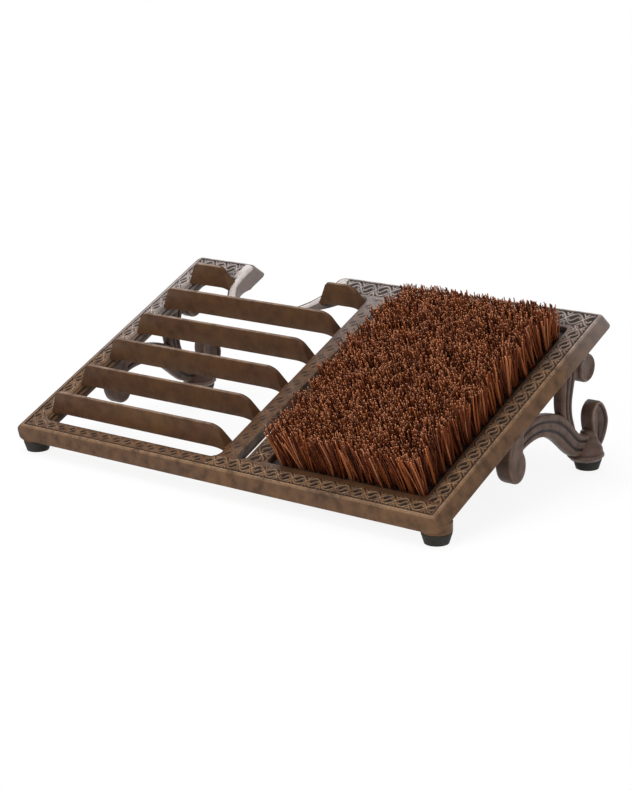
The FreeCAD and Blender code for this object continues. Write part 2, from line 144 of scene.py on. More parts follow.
class Shader:
    """Builds one node tree with few words."""

    def __init__(self, owner: bpy.types.ID, output: str = "OutputMaterial") -> None:
        """Empties the owner's tree and gives it an output.

        Args:
            owner: the material or world.
            output: the output node's type without its prefix.
        """
        owner.use_nodes = True
        self.owner = owner
        self.tree = owner.node_tree
        self.tree.nodes.clear()
        self.output = self.node(output)

    def node(self, kind: str, **values: object) -> bpy.types.Node:
        """Adds a node and sets its properties and sockets.

        Args:
            kind: the node's type without its prefix.
            **values: properties by name; a socket's name has its spaces written as underscores.

        Returns:
            The new node.
        """
        made = self.tree.nodes.new("ShaderNode" + kind)
        for name, value in values.items():
            if hasattr(made, name):
                setattr(made, name, value)
            else:
                self.put(made.inputs[name.replace("_", " ")], value)
        return made

    def put(self, socket: bpy.types.NodeSocket, value: object) -> None:
        """Links a socket to another, or sets its constant.

        Args:
            socket: the socket that is fed.
            value: another socket, a number or a colour.
        """
        if isinstance(value, bpy.types.NodeSocket):
            self.tree.links.new(value, socket)
        elif isinstance(value, tuple):
            socket.default_value = (*value, 1.0)
        else:
            socket.default_value = value

    def where(self) -> bpy.types.NodeSocket:
        """Places on the object in metres."""
        return self.node("TexCoord").outputs["Object"]

    def number(self, name: str) -> bpy.types.NodeSocket:
        """A number that the mesh carries at its vertices."""
        return self.node("Attribute", attribute_name=name).outputs["Fac"]

    def ramp(self, factor: bpy.types.NodeSocket,
             *stops: tuple[float, Colour | float]) -> bpy.types.NodeSocket:
        """A colour ramp over a factor.

        Args:
            factor: the socket that drives it.
            *stops: places from 0 to 1, each with its colour or its grey.

        Returns:
            The ramp's colour socket.
        """
        made = self.node("ValToRGB", Fac=factor)
        ramp = made.color_ramp
        while len(ramp.elements) < len(stops):
            ramp.elements.new(0.5)
        for element, (place, colour) in zip(ramp.elements, stops):
            element.position = place
            element.color = (*colour, 1.0) if isinstance(colour, tuple) else (colour, colour, colour, 1.0)
        return made.outputs["Color"]

    def noise(self, where: bpy.types.NodeSocket, scale: float, detail: float = 3.0,
              rough: float = 0.55) -> bpy.types.NodeSocket:
        """The factor of a noise over a coordinate.

        Args:
            where: the coordinate.
            scale: lumps per metre.
            detail: finer layers that it holds.
            rough: weight of the finer layers.

        Returns:
            The noise from 0 to 1.
        """
        made = self.node("TexNoise", Vector=where, Scale=scale, Detail=detail, Roughness=rough)
        return made.outputs["Fac"]

    def spread(self, value: bpy.types.NodeSocket, low: float, high: float, start: float,
               end: float) -> bpy.types.NodeSocket:
        """A number that runs from start to end while another runs from low to high.

        Args:
            value: the other number.
            low: where the result begins to change.
            high: where it stops.
            start: the result up to low.
            end: the result from high on.

        Returns:
            The result.
        """
        made = self.node("MapRange", Value=value, From_Min=low, From_Max=high, To_Min=start, To_Max=end)
        return made.outputs["Result"]

    def mix(self, factor: object, first: object, second: object, blend: str = "MIX") -> bpy.types.NodeSocket:
        """Mixes two colours.

        Args:
            factor: share of the second one.
            first: a colour or its socket.
            second: a colour or its socket.
            blend: how the second is laid on.

        Returns:
            The mixed colour.
        """
        made = self.node("Mix", data_type="RGBA", blend_type=blend)
        for index, value in ((0, factor), (6, first), (7, second)):
            self.put(made.inputs[index], value)
        return made.outputs[2]

    def math(self, operation: str, first: object, second: object) -> bpy.types.NodeSocket:
        """One sum of two numbers.

        Args:
            operation: the sum's name.
            first: a number or its socket.
            second: a number or its socket.

        Returns:
            The result.
        """
        made = self.node("Math", operation=operation)
        for index, value in enumerate((first, second)):
            self.put(made.inputs[index], value)
        return made.outputs[0]

    def times(self, first: object, second: object) -> bpy.types.NodeSocket:
        """The product of two numbers."""
        return self.math("MULTIPLY", first, second)

    def seen(self) -> bpy.types.NodeSocket:
        """1 for what the camera sees itself or in a shiny surface."""
        path = self.node("LightPath")
        return self.math("MAXIMUM", path.outputs["Is Camera Ray"], path.outputs["Is Glossy Ray"])

    def blend(self, factor: bpy.types.NodeSocket, first: bpy.types.Node,
              second: bpy.types.Node) -> bpy.types.NodeSocket:
        """Mixes two surfaces.

        Args:
            factor: share of the second one.
            first: node of a surface.
            second: node of a surface.

        Returns:
            The mixed surface.
        """
        made = self.node("MixShader")
        for index, value in enumerate((factor, first.outputs[0], second.outputs[0])):
            self.put(made.inputs[index], value)
        return made.outputs[0]

    def close(self, surface: bpy.types.NodeSocket) -> bpy.types.ID:
        """Links the surface to the output and returns the finished material or world."""
        self.put(self.output.inputs["Surface"], surface)
        return self.owner

    def principled(self, specular: float, **values: object) -> bpy.types.Material:
        """Ends the tree in a principled surface.

        Args:
            specular: its constant specular level.
            **values: its other sockets.

        Returns:
            The finished material.
        """
        made = self.node("BsdfPrincipled", **values)
        made.inputs["Specular IOR Level"].default_value = specular
        return self.close(made.outputs["BSDF"])


def new_shader(name: str) -> Shader:
    """Starts an empty material."""
    return Shader(bpy.data.materials.new(name))


@dataclass(frozen=True)
class CastIron:
    """Antique brown paint over cast iron, rubbed lighter on what stands proud."""

    name: str
    shade: Colour
    body: Colour
    warm: Colour
    worn: Colour
    grain: float
    shine: float
    gloss: float
    # Painted sheen: its share here and its grey below turn the paint grey towards the rear, where the bright
    # surroundings reflect.
    sheen_share: float = 0.0
    # Painted shade: its share here and its brown below darken up-facing tops at the front.
    front_top_shade: float = 0.0
    front_top_shade_brown: Colour = (0.072, 0.028, 0.010)
    sheen_grey: Colour = (0.25, 0.225, 0.222)
    # Painted highlight: a pale grey for rubbed ridges towards the rear.
    rear_highlight_grey: Colour = (0.47, 0.42, 0.41)
    fleck: Colour = (0.56, 0.47, 0.38)
    # Real polish on the notch's rim, greyed as a painted sheen.
    polish_and_sheen: Colour = (0.46, 0.41, 0.39)

    def colour(self, s: Shader, middle: bpy.types.NodeSocket, fine: bpy.types.NodeSocket,
               rubbed: bpy.types.NodeSocket) -> bpy.types.NodeSocket:
        """Mottled browns, rubbed lighter with flecks, plus painted light: sheen towards the rear, shade in
        hollows and on up-facing front tops, highlights on rear ridges and sheen on the polished notch.

        Args:
            s: the material's tree.
            middle: noise of some millimetres.
            fine: noise of about a millimetre.
            rubbed: how far a place is rubbed.

        Returns:
            The paint's colour.
        """
        where = s.where()
        relief = s.number("relief")
        base = s.ramp(s.noise(where, 17.0), (0.34, self.body), (0.66, self.warm))
        mottle = s.ramp(middle, (0.30, self.shade), (0.52, self.body), (0.74, self.warm))
        base = s.mix(0.55, base, mottle)
        place = s.node("SeparateXYZ", Vector=where)
        # Painted sheen: the paint is greyed towards the rear and left, standing in for a reflection of the
        # bright surroundings.
        toward_rear = s.math("SUBTRACT", place.outputs["Y"], s.times(place.outputs["X"], 0.20))
        painted_sheen = s.spread(toward_rear, 0.0, 0.085, 0.0, self.sheen_share)
        base = s.mix(painted_sheen, base, self.sheen_grey)
        # Painted shade: up-facing tops at the front are darkened and reddened by how they face.
        facing = s.node("SeparateXYZ", Vector=s.node("NewGeometry").outputs["Normal"])
        upward = s.spread(facing.outputs["Z"], 0.6, 0.9, 0.0, self.front_top_shade)
        front = s.spread(toward_rear, -0.10, 0.06, 1.0, 0.0)
        base = s.mix(s.times(upward, front), base, self.front_top_shade_brown)
        # Painted shade: places with a low number, such as the ornament's ground and the border groove, are
        # darkened towards the shade colour.
        hollow_shade = s.ramp(relief, (0.26, 1.0), (0.49, 0.0))
        base = s.mix(s.times(hollow_shade, 0.90), base, self.shade)
        patchy = s.ramp(middle, (0.36, 0.25), (0.60, 1.0))
        wear = s.times(s.times(rubbed, patchy), 0.90)
        # Rubbed paint, turned towards a painted highlight grey at the rear.
        base = s.mix(wear, base, s.mix(s.times(painted_sheen, 2.2), self.worn, self.rear_highlight_grey))
        flecks = s.times(rubbed, s.ramp(fine, (0.56, 0.0), (0.68, 1.0)))
        base = s.mix(s.times(flecks, 0.50), base, self.fleck)
        # The notch's rim: polish from boots, with a painted sheen of the bright surroundings in its grey.
        polished_and_sheen = s.ramp(relief, (0.975, 0.0), (0.995, 1.0))
        glow = s.times(s.math("ADD", s.times(patchy, 0.5), 0.5), 0.80)
        return s.mix(s.times(polished_and_sheen, glow), base, self.polish_and_sheen)

    def material(self) -> bpy.types.Material:
        """Builds the paint with its colour, sheen and cast grain.

        Returns:
            The finished material.
        """
        s = new_shader(self.name)
        where = s.where()
        middle = s.noise(where, 120.0, 4.0)
        fine = s.noise(where, 900.0, 3.0, 0.7)
        rubbed = s.ramp(s.number("relief"), (0.66, 0.0), (0.95, 1.0))
        base = self.colour(s, middle, fine, rubbed)
        rough = s.ramp(middle, (0.3, self.shine + 0.14), (0.7, self.shine - 0.06))
        rough = s.math("SUBTRACT", rough, s.times(rubbed, 0.10))
        height = s.math("ADD", s.times(middle, 0.8), s.times(fine, 0.5))
        bump = s.node("Bump", Strength=0.55, Distance=self.grain, Height=height)
        return s.principled(self.gloss, Base_Color=base, Roughness=rough, Normal=bump.outputs["Normal"])


@dataclass(frozen=True)
class MouldedBlack:
    """Matt black rubber or plastic with a fine moulded grain."""

    name: str
    colour: Colour
    rough: float
    grain: float
    gloss: float = 0.2

    def material(self) -> bpy.types.Material:
        """Builds the moulded surface.

        Returns:
            The finished material.
        """
        s = new_shader(self.name)
        where = s.where()
        pale = tuple(1.9 * part + 0.004 for part in self.colour)
        base = s.ramp(s.noise(where, 90.0), (0.3, self.colour), (0.75, pale))
        bump = s.node("Bump", Strength=0.5, Distance=self.grain, Height=s.noise(where, 1400.0, 2.0))
        return s.principled(self.gloss, Base_Color=base, Roughness=self.rough, Normal=bump.outputs["Normal"])


@dataclass(frozen=True)
class PlatedSteel:
    """Zinc plated steel for screws and dowels."""

    name: str = "zinc_plated_steel"
    colour: Colour = (0.47, 0.45, 0.42)
    gloss: float = 0.5

    def material(self) -> bpy.types.Material:
        """Builds the plated metal with faint clouding.

        Returns:
            The finished material.
        """
        s = new_shader(self.name)
        cloud = s.noise(s.where(), 260.0, 4.0)
        dull = tuple(0.6 * part for part in self.colour)
        base = s.ramp(cloud, (0.3, dull), (0.7, self.colour))
        rough = s.ramp(cloud, (0.3, 0.5), (0.7, 0.32))
        return s.principled(self.gloss, Base_Color=base, Roughness=rough, Metallic=0.9)


@dataclass(frozen=True)
class PlantFibre:
    """Stiff red-brown plant fibre with painted shade towards its roots, pale where its tips are cut."""

    name: str = "plant_fibre"
    dark: Colour = (0.030, 0.009, 0.005)
    red: Colour = (0.150, 0.036, 0.014)
    orange: Colour = (0.420, 0.120, 0.030)
    pink: Colour = (0.430, 0.170, 0.085)
    cut: Colour = (0.500, 0.220, 0.108)
    rough: float = 0.50
    gloss: float = 0.10

    def material(self) -> bpy.types.Material:
        """Builds the fibre's colours from each fibre's own tone and the height along it.

        Returns:
            The finished material.
        """
        s = new_shader(self.name)
        tone = s.number("tone")
        rise = s.number("rise")
        base = s.ramp(tone, (0.0, self.dark), (0.30, self.red), (0.66, self.red), (0.84, self.orange),
                      (1.0, self.pink))
        base = s.mix(s.times(s.noise(s.where(), 700.0, 2.0), 0.35), base, self.dark)
        # Painted shade: each fibre darkens towards its root, deep in the brush.
        base = s.mix(1.0, base, s.ramp(rise, (0.0, 0.66), (0.45, 0.94), (0.90, 1.0)), "MULTIPLY")
        tip = s.ramp(rise, (0.975, 0.0), (1.0, 1.0))
        share = s.ramp(tone, (0.25, 0.10), (0.80, 0.75))
        base = s.mix(s.times(tip, share), base, self.cut)
        return s.principled(self.gloss, Base_Color=base, Roughness=self.rough)


class Piece:
    """A mesh in the making, in millimetres, that ends as one object in the row frame."""

    def __init__(self, name: str, slot: Slot, material: bpy.types.Material,
                 numbers: Sequence[str] = ("relief",)) -> None:
        """Starts an empty piece.

        Args:
            name: the object's name.
            slot: the record's slot that its finish belongs to; it is kept on the piece but not used.
            material: its material.
            numbers: names of the numbers per vertex that the material reads.
        """
        self.name = name
        self.slot = slot
        self.material = material
        self.bm = bmesh.new()
        for number in numbers:
            self.bm.verts.layers.float.new(number)

    def number(self, name: str = "relief") -> bmesh.types.BMLayerItem:
        """A number per vertex; the paint's own is low in hollows and high where it is rubbed."""
        return self.bm.verts.layers.float[name]

    def paint(self, verts: Iterable[bmesh.types.BMVert], numbers: Iterable[float]) -> None:
        """Gives vertices the paint's number.

        Args:
            verts: the vertices.
            numbers: a number for each.
        """
        layer = self.number()
        for vert, number in zip(verts, numbers):
            vert[layer] = number

    def lathe(self, profile: Sequence[tuple[float, float]], centre: Vector,
              steps: int) -> list[bmesh.types.BMVert]:
        """Spins a profile round an upright axis into a closed solid.

        Args:
            profile: radius and height of each point, from the axis below to the axis above.
            centre: the foot of the axis.
            steps: steps of the full turn.

        Returns:
            The vertices made.
        """
        before = set(self.bm.verts)
        verts = [self.bm.verts.new(centre + Vector((radius, 0.0, height))) for radius, height in profile]
        edges = [self.bm.edges.new(pair) for pair in zip(verts, verts[1:])]
        bmesh.ops.spin(self.bm, geom=verts + edges, cent=centre, axis=(0.0, 0.0, 1.0),
                       angle=2.0 * math.pi, steps=steps, use_merge=True)
        made = [vert for vert in self.bm.verts if vert not in before]
        bmesh.ops.remove_doubles(self.bm, verts=made, dist=1e-4)
        return [vert for vert in self.bm.verts if vert not in before]

    def sweep(self, rings: Sequence[Sequence[Vector]]) -> list[bmesh.types.BMVert]:
        """Runs a closed ring of points through a series of places and closes both ends.

        Args:
            rings: the ring's points at each place, in the same order.

        Returns:
            The vertices made.
        """
        before = set(self.bm.verts)
        face = self.bm.faces.new([self.bm.verts.new(point) for point in rings[0]])
        for index, ring in enumerate(rings[1:]):
            made = bmesh.ops.extrude_face_region(self.bm, geom=[face], use_keep_orig=True)
            if index > 0:
                bmesh.ops.delete(self.bm, geom=[face], context="FACES_ONLY")
            face = next(item for item in made["geom"] if isinstance(item, bmesh.types.BMFace))
            for vert, point in zip(face.verts, ring):
                vert.co = point
        return [vert for vert in self.bm.verts if vert not in before]

    def cut(self, place: Vector, normal: Vector, drop_above: bool = False) -> list[bmesh.types.BMEdge]:
        """Cuts the whole mesh along a plane.

        Args:
            place: a point of the plane.
            normal: the plane's normal.
            drop_above: whether what lies above the plane is taken away.

        Returns:
            The edges in the plane.
        """
        found = bmesh.ops.bisect_plane(self.bm, geom=self.bm.verts[:] + self.bm.edges[:] + self.bm.faces[:],
                                       plane_co=place, plane_no=normal, clear_outer=drop_above)
        return [item for item in found["geom_cut"] if isinstance(item, bmesh.types.BMEdge)]

    def soften(self, width: float, segments: int, angle_deg: float) -> None:
        """Rounds the edges that are sharper than an angle.

        Args:
            width: reach of the rounding.
            segments: steps across it.
            angle_deg: the angle.
        """
        sharp = [edge for edge in self.bm.edges if len(edge.link_faces) == 2
                 and edge.calc_face_angle(0.0) > math.radians(angle_deg)]
        bmesh.ops.bevel(self.bm, geom=sharp, offset=width, offset_type="OFFSET", segments=segments,
                        profile=0.5, affect="EDGES", clamp_overlap=True, material=-1)

    def finish(self, matrix: Matrix, nodes: Sequence[str], smooth_deg: float) -> bpy.types.Object:
        """Turns the mesh into an object in the row frame that rides on the body.

        Args:
            matrix: from the mesh's millimetres to the row frame.
            nodes: the CAD nodes that it stands for.
            smooth_deg: angle up to which neighbouring faces are shaded as one surface.

        Returns:
            The finished object.
        """
        bmesh.ops.transform(self.bm, matrix=matrix, verts=self.bm.verts)
        bmesh.ops.recalc_face_normals(self.bm, faces=self.bm.faces)
        mesh = bpy.data.meshes.new(self.name)
        self.bm.to_mesh(mesh)
        self.bm.free()
        mesh.shade_smooth()
        mesh.set_sharp_from_angle(angle=math.radians(smooth_deg))
        mesh.materials.append(self.material)
        made = bpy.data.objects.new(self.name, mesh)
        bpy.context.scene.collection.objects.link(made)
        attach(made, "root")
        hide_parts(*nodes)
        LOG.info("%s: %d faces, stands for %s", self.name, len(mesh.polygons), ", ".join(nodes))
        return made


def smooth_path(points: Sequence[tuple[float, float]], samples: int, closed: bool = False) -> Array:
    """Points along a smooth curve through others, evenly spaced along its length.

    Args:
        points: the points that it passes.
        samples: how many points come back.
        closed: whether it runs back to its start.

    Returns:
        One row per point.
    """
    known = np.array(points, float)
    count = len(known)
    fine = []
    for index in range(count if closed else count - 1):
        picks = [index - 1, index, index + 1, index + 2]
        picks = [pick % count if closed else min(max(pick, 0), count - 1) for pick in picks]
        before, start, end, after = known[picks]
        for step in np.linspace(0.0, 1.0, 16, endpoint=False):
            fine.append(0.5 * (2.0 * start + (end - before) * step
                               + (2.0 * before - 5.0 * start + 4.0 * end - after) * step ** 2
                               + (3.0 * start - before - 3.0 * end + after) * step ** 3))
    fine.append(known[0] if closed else known[-1])
    dense = np.array(fine)
    reach = np.concatenate([[0.0], np.cumsum(np.hypot(*np.diff(dense, axis=0).T))])
    wanted = np.linspace(0.0, reach[-1], samples, endpoint=not closed)
    return np.stack([np.interp(wanted, reach, dense[:, axis]) for axis in (0, 1)], axis=1)


def drawn_in(outline: Array, distance: float) -> Array:
    """A closed outline moved inwards along its own normals.

    Args:
        outline: one row per point.
        distance: how far it moves.

    Returns:
        The moved points in the same order.
    """
    before, after = np.roll(outline, 1, axis=0), np.roll(outline, -1, axis=0)
    area = float((outline[:, 0] * after[:, 1] - after[:, 0] * outline[:, 1]).sum())
    coming, going = outline - before, after - outline
    coming /= np.maximum(np.hypot(*coming.T), 1e-9)[:, None]
    going /= np.maximum(np.hypot(*going.T), 1e-9)[:, None]
    along = coming + going
    along /= np.maximum(np.hypot(*along.T), 1e-9)[:, None]
    inward = np.stack([-along[:, 1], along[:, 0]], axis=1) * math.copysign(1.0, area)
    lengthen = 1.0 / np.maximum((along * going).sum(axis=1), 0.6)
    return outline + inward * (distance * lengthen)[:, None]


def ridge(place: Array, middle: float, half: float) -> Array:
    """A rounded line over a measure: 1 in its middle and 0 from its half width on."""
    return np.clip(1.0 - ((place - middle) / half) ** 2, 0.0, 1.0)


def rounded_box(u: Array, v: Array, low: tuple[float, float], high: tuple[float, float],
                radius: float) -> Array:
    """Signed distance to a rectangle with round corners, negative inside.

    Args:
        u: places across.
        v: places up the slope.
        low: the corner with the lowest numbers.
        high: the corner with the highest numbers.
        radius: radius of its corners.

    Returns:
        One distance per place.
    """
    out_u = np.abs(u - (low[0] + high[0]) / 2) - (high[0] - low[0]) / 2 + radius
    out_v = np.abs(v - (low[1] + high[1]) / 2) - (high[1] - low[1]) / 2 + radius
    outside = np.hypot(np.maximum(out_u, 0.0), np.maximum(out_v, 0.0))
    return outside + np.minimum(np.maximum(out_u, out_v), 0.0) - radius


@dataclass(frozen=True)
class Braid:
    """An ornament of two waving stems, with a leaf in each eye and leaves beside each crossing."""

    eye_leaf: Shares = ((-0.150, -0.10), (-0.080, -0.36), (0.000, -0.02), (0.080, 0.36), (0.150, 0.10))
    side_leaf: Shares = ((0.165, 0.96), (0.215, 0.74), (0.262, 0.46), (0.300, 0.70), (0.335, 0.95))
    stem_swing: float = 0.80
    stem_width: float = 1.35
    leaf_width: float = 1.15

    def strokes(self, wave: float, half_band: float) -> list[tuple[Array, float]]:
        """The braid's lines over one wave, with some of the next on both sides.

        Args:
            wave: length of one wave in millimetres.
            half_band: half of the band's width in millimetres.

        Returns:
            Lines in millimetres, each with its half width.
        """
        lines = []
        along = np.linspace(-0.3, 1.3, 60)
        for flip in (1.0, -1.0):
            swing = flip * self.stem_swing * half_band * np.cos(2.0 * math.pi * along)
            lines.append((np.stack([along * wave, swing], axis=1), self.stem_width))
        for shape, flips in ((self.eye_leaf, (1.0,)), (self.side_leaf, (1.0, -1.0))):
            path = smooth_path(shape, 16)
            for shift in (-0.5, 0.0, 0.5, 1.0):
                for flip in flips:
                    placed = np.stack([(path[:, 0] + shift) * wave, flip * path[:, 1] * half_band], axis=1)
                    lines.append((placed, self.leaf_width))
        return lines

    def height(self, along: Array, across: Array, wave: float, half_band: float) -> Array:
        """Height of the braid at places in its band.

        Args:
            along: places along the band.
            across: places across it, from its middle line.
            wave: length of one wave.
            half_band: half of the band's width.

        Returns:
            Heights from 0 on the ground to 1 on a stroke's crest.
        """
        phase = np.mod(along, wave)
        best = np.zeros_like(phase)
        for line, width in self.strokes(wave, half_band):
            start, run = line[:-1], line[1:] - line[:-1]
            length = np.maximum((run ** 2).sum(1), 1e-9)
            for (x0, y0), (dx, dy), size in zip(start, run, length):
                near = np.abs(phase - x0 - dx / 2) < abs(dx) / 2 + width + 0.1
                if not near.any():
                    continue
                px, py = phase[near] - x0, across[near] - y0
                share = np.clip((px * dx + py * dy) / size, 0.0, 1.0)
                gap = np.hypot(px - share * dx, py - share * dy)
                best[near] = np.maximum(best[near], ridge(gap, 0.0, width))
        return best


@dataclass(frozen=True)
class OrnamentBand:
    """Where the braid runs along a rail, in millimetres of the deck."""

    low_u: float
    low_v: float
    high_u: float
    high_v: float
    waves: int
    crispness: float = 1.0
    runs_up: bool = False
    ground: float = 0.9
    fade: float = 0.8

    def add_to(self, relief: Array, u: Array, v: Array, braid: Braid) -> None:
        """Writes the band's relief over the places that lie in it.

        Args:
            relief: the relief so far, which is changed.
            u: places across.
            v: places up the slope.
            braid: the ornament.
        """
        inside = (u >= self.low_u) & (u <= self.high_u) & (v >= self.low_v) & (v <= self.high_v)
        from_low, wide = u[inside] - self.low_u, self.high_u - self.low_u
        from_front, deep = v[inside] - self.low_v, self.high_v - self.low_v
        if self.runs_up:
            along, across, length, half = from_front, from_low - wide / 2, deep, wide / 2
        else:
            along, across, length, half = from_low, from_front - deep / 2, wide, deep / 2
        height = braid.height(along, across, length / self.waves, half) ** 2
        edge = np.clip((half - np.abs(across)) / self.fade, 0.0, 1.0)
        carved = (height * (1.0 + self.ground) - self.ground) * self.crispness
        relief[inside] = (1.0 - edge) * relief[inside] + edge * carved


# Three on the front rail, then the left, right and brush rails, the two rear rails and the middle rail.
BANDS = (
    OrnamentBand(-188.0, 2.6, -6.0, 11.6, 8, 0.66),
    OrnamentBand(-8.0, 2.8, 38.0, 14.6, 2),
    OrnamentBand(38.0, 2.6, 188.0, 13.4, 6),
    OrnamentBand(-190.0, 13.0, -179.6, 216.0, 8, runs_up=True),
    OrnamentBand(177.6, 15.0, 189.6, 222.0, 8, runs_up=True),
    OrnamentBand(22.2, 17.0, 36.9, 217.0, 7, runs_up=True),
    OrnamentBand(-190.0, 220.0, -140.0, 235.8, 2),
    OrnamentBand(-40.0, 220.0, 189.0, 235.8, 8),
    OrnamentBand(-2.0, 17.0, 9.6, 217.0, 9, 0.42, runs_up=True),
)


@dataclass
class DeckCasting:
    """The cast deck: rails with a braid in low relief, three openings, the notch's rim and two bosses."""

    deck: Deck
    material: bpy.types.Material
    cell: float = 0.62
    edge_round: float = 0.9
    rim_round: float = 3.0
    relief_depth: float = 0.60
    border_line: tuple[float, float] = (1.5, 0.75)
    border_groove: tuple[float, float] = (2.7, 0.55)
    inner_line: tuple[float, float] = (-1.7, 0.6)
    edge_wear: tuple[float, float] = (0.75, 0.78)
    brush_shade: float = 7.0
    left_step: float = 3.0
    slot_draft: float = 3.4
    left_bulge: float = 1.45
    boss_radius: float = 11.0
    boss_low: float = 8.0
    boss_top: float = 15.5
    # Side walls, step by step: how far down, and how far out for a plain, a stepped and a bulged wall.
    levels: tuple[float, ...] = (0.12, 0.20, 0.34, 0.46, 0.62, 0.94, 1.0)
    plain_out: tuple[float, ...] = (0.12, 0.20, 0.34, 0.46, 0.62, 0.94, 0.88)
    stepped_out: tuple[float, ...] = (0.10, 0.42, 0.50, 0.92, 0.98, 1.0, 0.9)
    # Paint numbers for the stepped wall: rubbed lighter on the step edges, painted shade inside the step.
    stepped_wear_and_shade: tuple[float, ...] = (0.5, 0.84, 0.16, 0.84, 0.3, 0.5, 0.5)
    bulged_out: tuple[float, ...] = (0.40, 0.62, 0.88, 1.0, 1.0, 0.86, 0.76)

    def brush_gap(self, u: Array, v: Array) -> Array:
        """Signed distance to the brush opening, negative inside."""
        d = self.deck
        return rounded_box(u, v, (d.brush_left, d.brush_front), (d.brush_right, d.rear_edge), d.brush_corner)

    def notch_reach(self, u: Array, v: Array) -> Array:
        """Distance from the heel notch's centre, or from its middle line behind it."""
        d = self.deck
        return np.where(v > d.notch_v, np.abs(u - d.notch_u), np.hypot(u - d.notch_u, v - d.notch_v))

    def metal(self, u: Array, v: Array) -> Array:
        """Signed distance to the top face's outline.

        Args:
            u: places across.
            v: places up the slope.

        Returns:
            Distances, negative on the metal.
        """
        d = self.deck
        reach = self.notch_reach(u, v)
        scraper = rounded_box(u, v, (d.scraper_left, d.front_rail), (d.scraper_right, d.rear_edge),
                              d.scraper_corner)
        slot = rounded_box(u, v, (d.slot_left, d.slot_front), (d.slot_right, d.slot_rear),
                           (d.slot_right - d.slot_left) / 2)
        plate = rounded_box(u, v, (-d.half_width, 0.0), (d.half_width, d.length), d.corner_radius)
        found = np.minimum(-scraper, reach - d.rim_radius)
        found = np.maximum(np.maximum(found, -slot), np.maximum(-self.brush_gap(u, v), plate))
        inner = d.notch_radius - reach + d.notch_mouth
        behind = v - d.length + d.notch_mouth
        corner = np.hypot(np.maximum(inner, 0.0), np.maximum(behind, 0.0))
        notch = corner + np.minimum(np.maximum(inner, behind), 0.0) - d.notch_mouth
        return np.maximum(found, np.where(np.abs(u - d.notch_u) < d.rim_radius + d.notch_mouth, notch, found))

    def slope_of(self, u: Array, v: Array) -> tuple[Array, Array]:
        """Direction in which the distance to the outline grows.

        Args:
            u: places across.
            v: places up the slope.

        Returns:
            The direction's two parts at each place.
        """
        step = 0.01
        across = (self.metal(u + step, v) - self.metal(u - step, v)) / (2.0 * step)
        up = (self.metal(u, v + step) - self.metal(u, v - step)) / (2.0 * step)
        size = np.maximum(np.hypot(across, up), 1e-6)
        return across / size, up / size

    def lines(self, stops: Sequence[float]) -> Array:
        """Grid lines through each stop, with even steps no longer than a cell between them.

        Args:
            stops: places that the grid must have.

        Returns:
            The places of all lines.
        """
        found = [np.array([stops[0]])]
        for start, end in zip(stops, stops[1:]):
            steps = max(1, math.ceil((end - start) / self.cell))
            found.append(np.linspace(start, end, steps + 1)[1:])
        return np.concatenate(found)

    def relief(self, u: Array, v: Array, on_notch: Array) -> Array:
        """Relief of the top face.

        Args:
            u: places across.
            v: places up the slope.
            on_notch: which of them lie on the heel notch's rim.

        Returns:
            1 on a crest, 0 on the plain face and less in the ornament's ground.
        """
        d = self.deck
        braid = Braid()
        found = np.zeros_like(u)
        for band in BANDS:
            band.add_to(found, u, v, braid)
        from_edge = -rounded_box(u, v, (-d.half_width, 0.0), (d.half_width, d.length), 0.5)
        border = np.where(on_notch, 0.0, ridge(from_edge, *self.border_line))
        groove = np.where(on_notch, 0.0, ridge(from_edge, *self.border_groove))
        found = np.where(on_notch, 0.0, found)
        found = found - 0.9 * groove * (1.0 - border) + border * (1.0 - found)
        beside_blades = (v > 11.0) & (v < d.rear_edge + 2.0) & (u < -170.0)
        line = ridge(u - d.scraper_left, *self.inner_line) * beside_blades
        return np.where(line > 0.0, np.maximum(found, line), found)

    def heights(self, u: Array, v: Array, gap: Array) -> tuple[Array, Array]:
        """Height of the top face and the paint's number at each place.

        Args:
            u: places across.
            v: places up the slope.
            gap: signed distance to the outline, negative on the metal.

        Returns:
            Heights in millimetres, and the paint's number from 0 to 1.
        """
        d = self.deck
        on_notch = np.abs(self.notch_reach(u, v) - d.notch_radius - d.notch_rim / 2) < d.notch_rim * 0.8
        rounding = np.where(on_notch, self.rim_round, self.edge_round)
        inner = np.clip(rounding + gap, 0.0, rounding * 0.985)
        drop = rounding - np.sqrt(np.maximum(rounding ** 2 - inner ** 2, 0.0))
        relief = self.relief(u, v, on_notch) * np.clip(-gap / 1.2, 0.0, 1.0)
        worn = np.minimum(PLAIN + 0.5 * relief, 0.96)
        edge_width, edge_number = self.edge_wear
        worn = np.maximum(worn, np.where(-gap < edge_width, edge_number, 0.0))
        # Painted shade: the rails beside the brush opening are darkened where the bristles overhang them,
        # most of all on the right.
        near_brush = np.clip(1.0 - self.brush_gap(u, v) / self.brush_shade, 0.0, 1.0)
        near_brush = near_brush * np.clip((d.rear_edge - v) / 30.0, 0.0, 1.0)
        bristle_shade = np.where(u > d.brush_right - 4.0, 0.42, np.where(v < d.brush_front, 0.20, 0.12))
        worn = worn * (1.0 - bristle_shade * near_brush)
        # The notch's rim is fully rubbed, and its polish colour there is partly a painted sheen.
        worn = np.where(on_notch & (-gap > 0.4), 1.0, worn)
        return self.relief_depth * relief - drop, np.clip(worn, 0.0, 1.0)

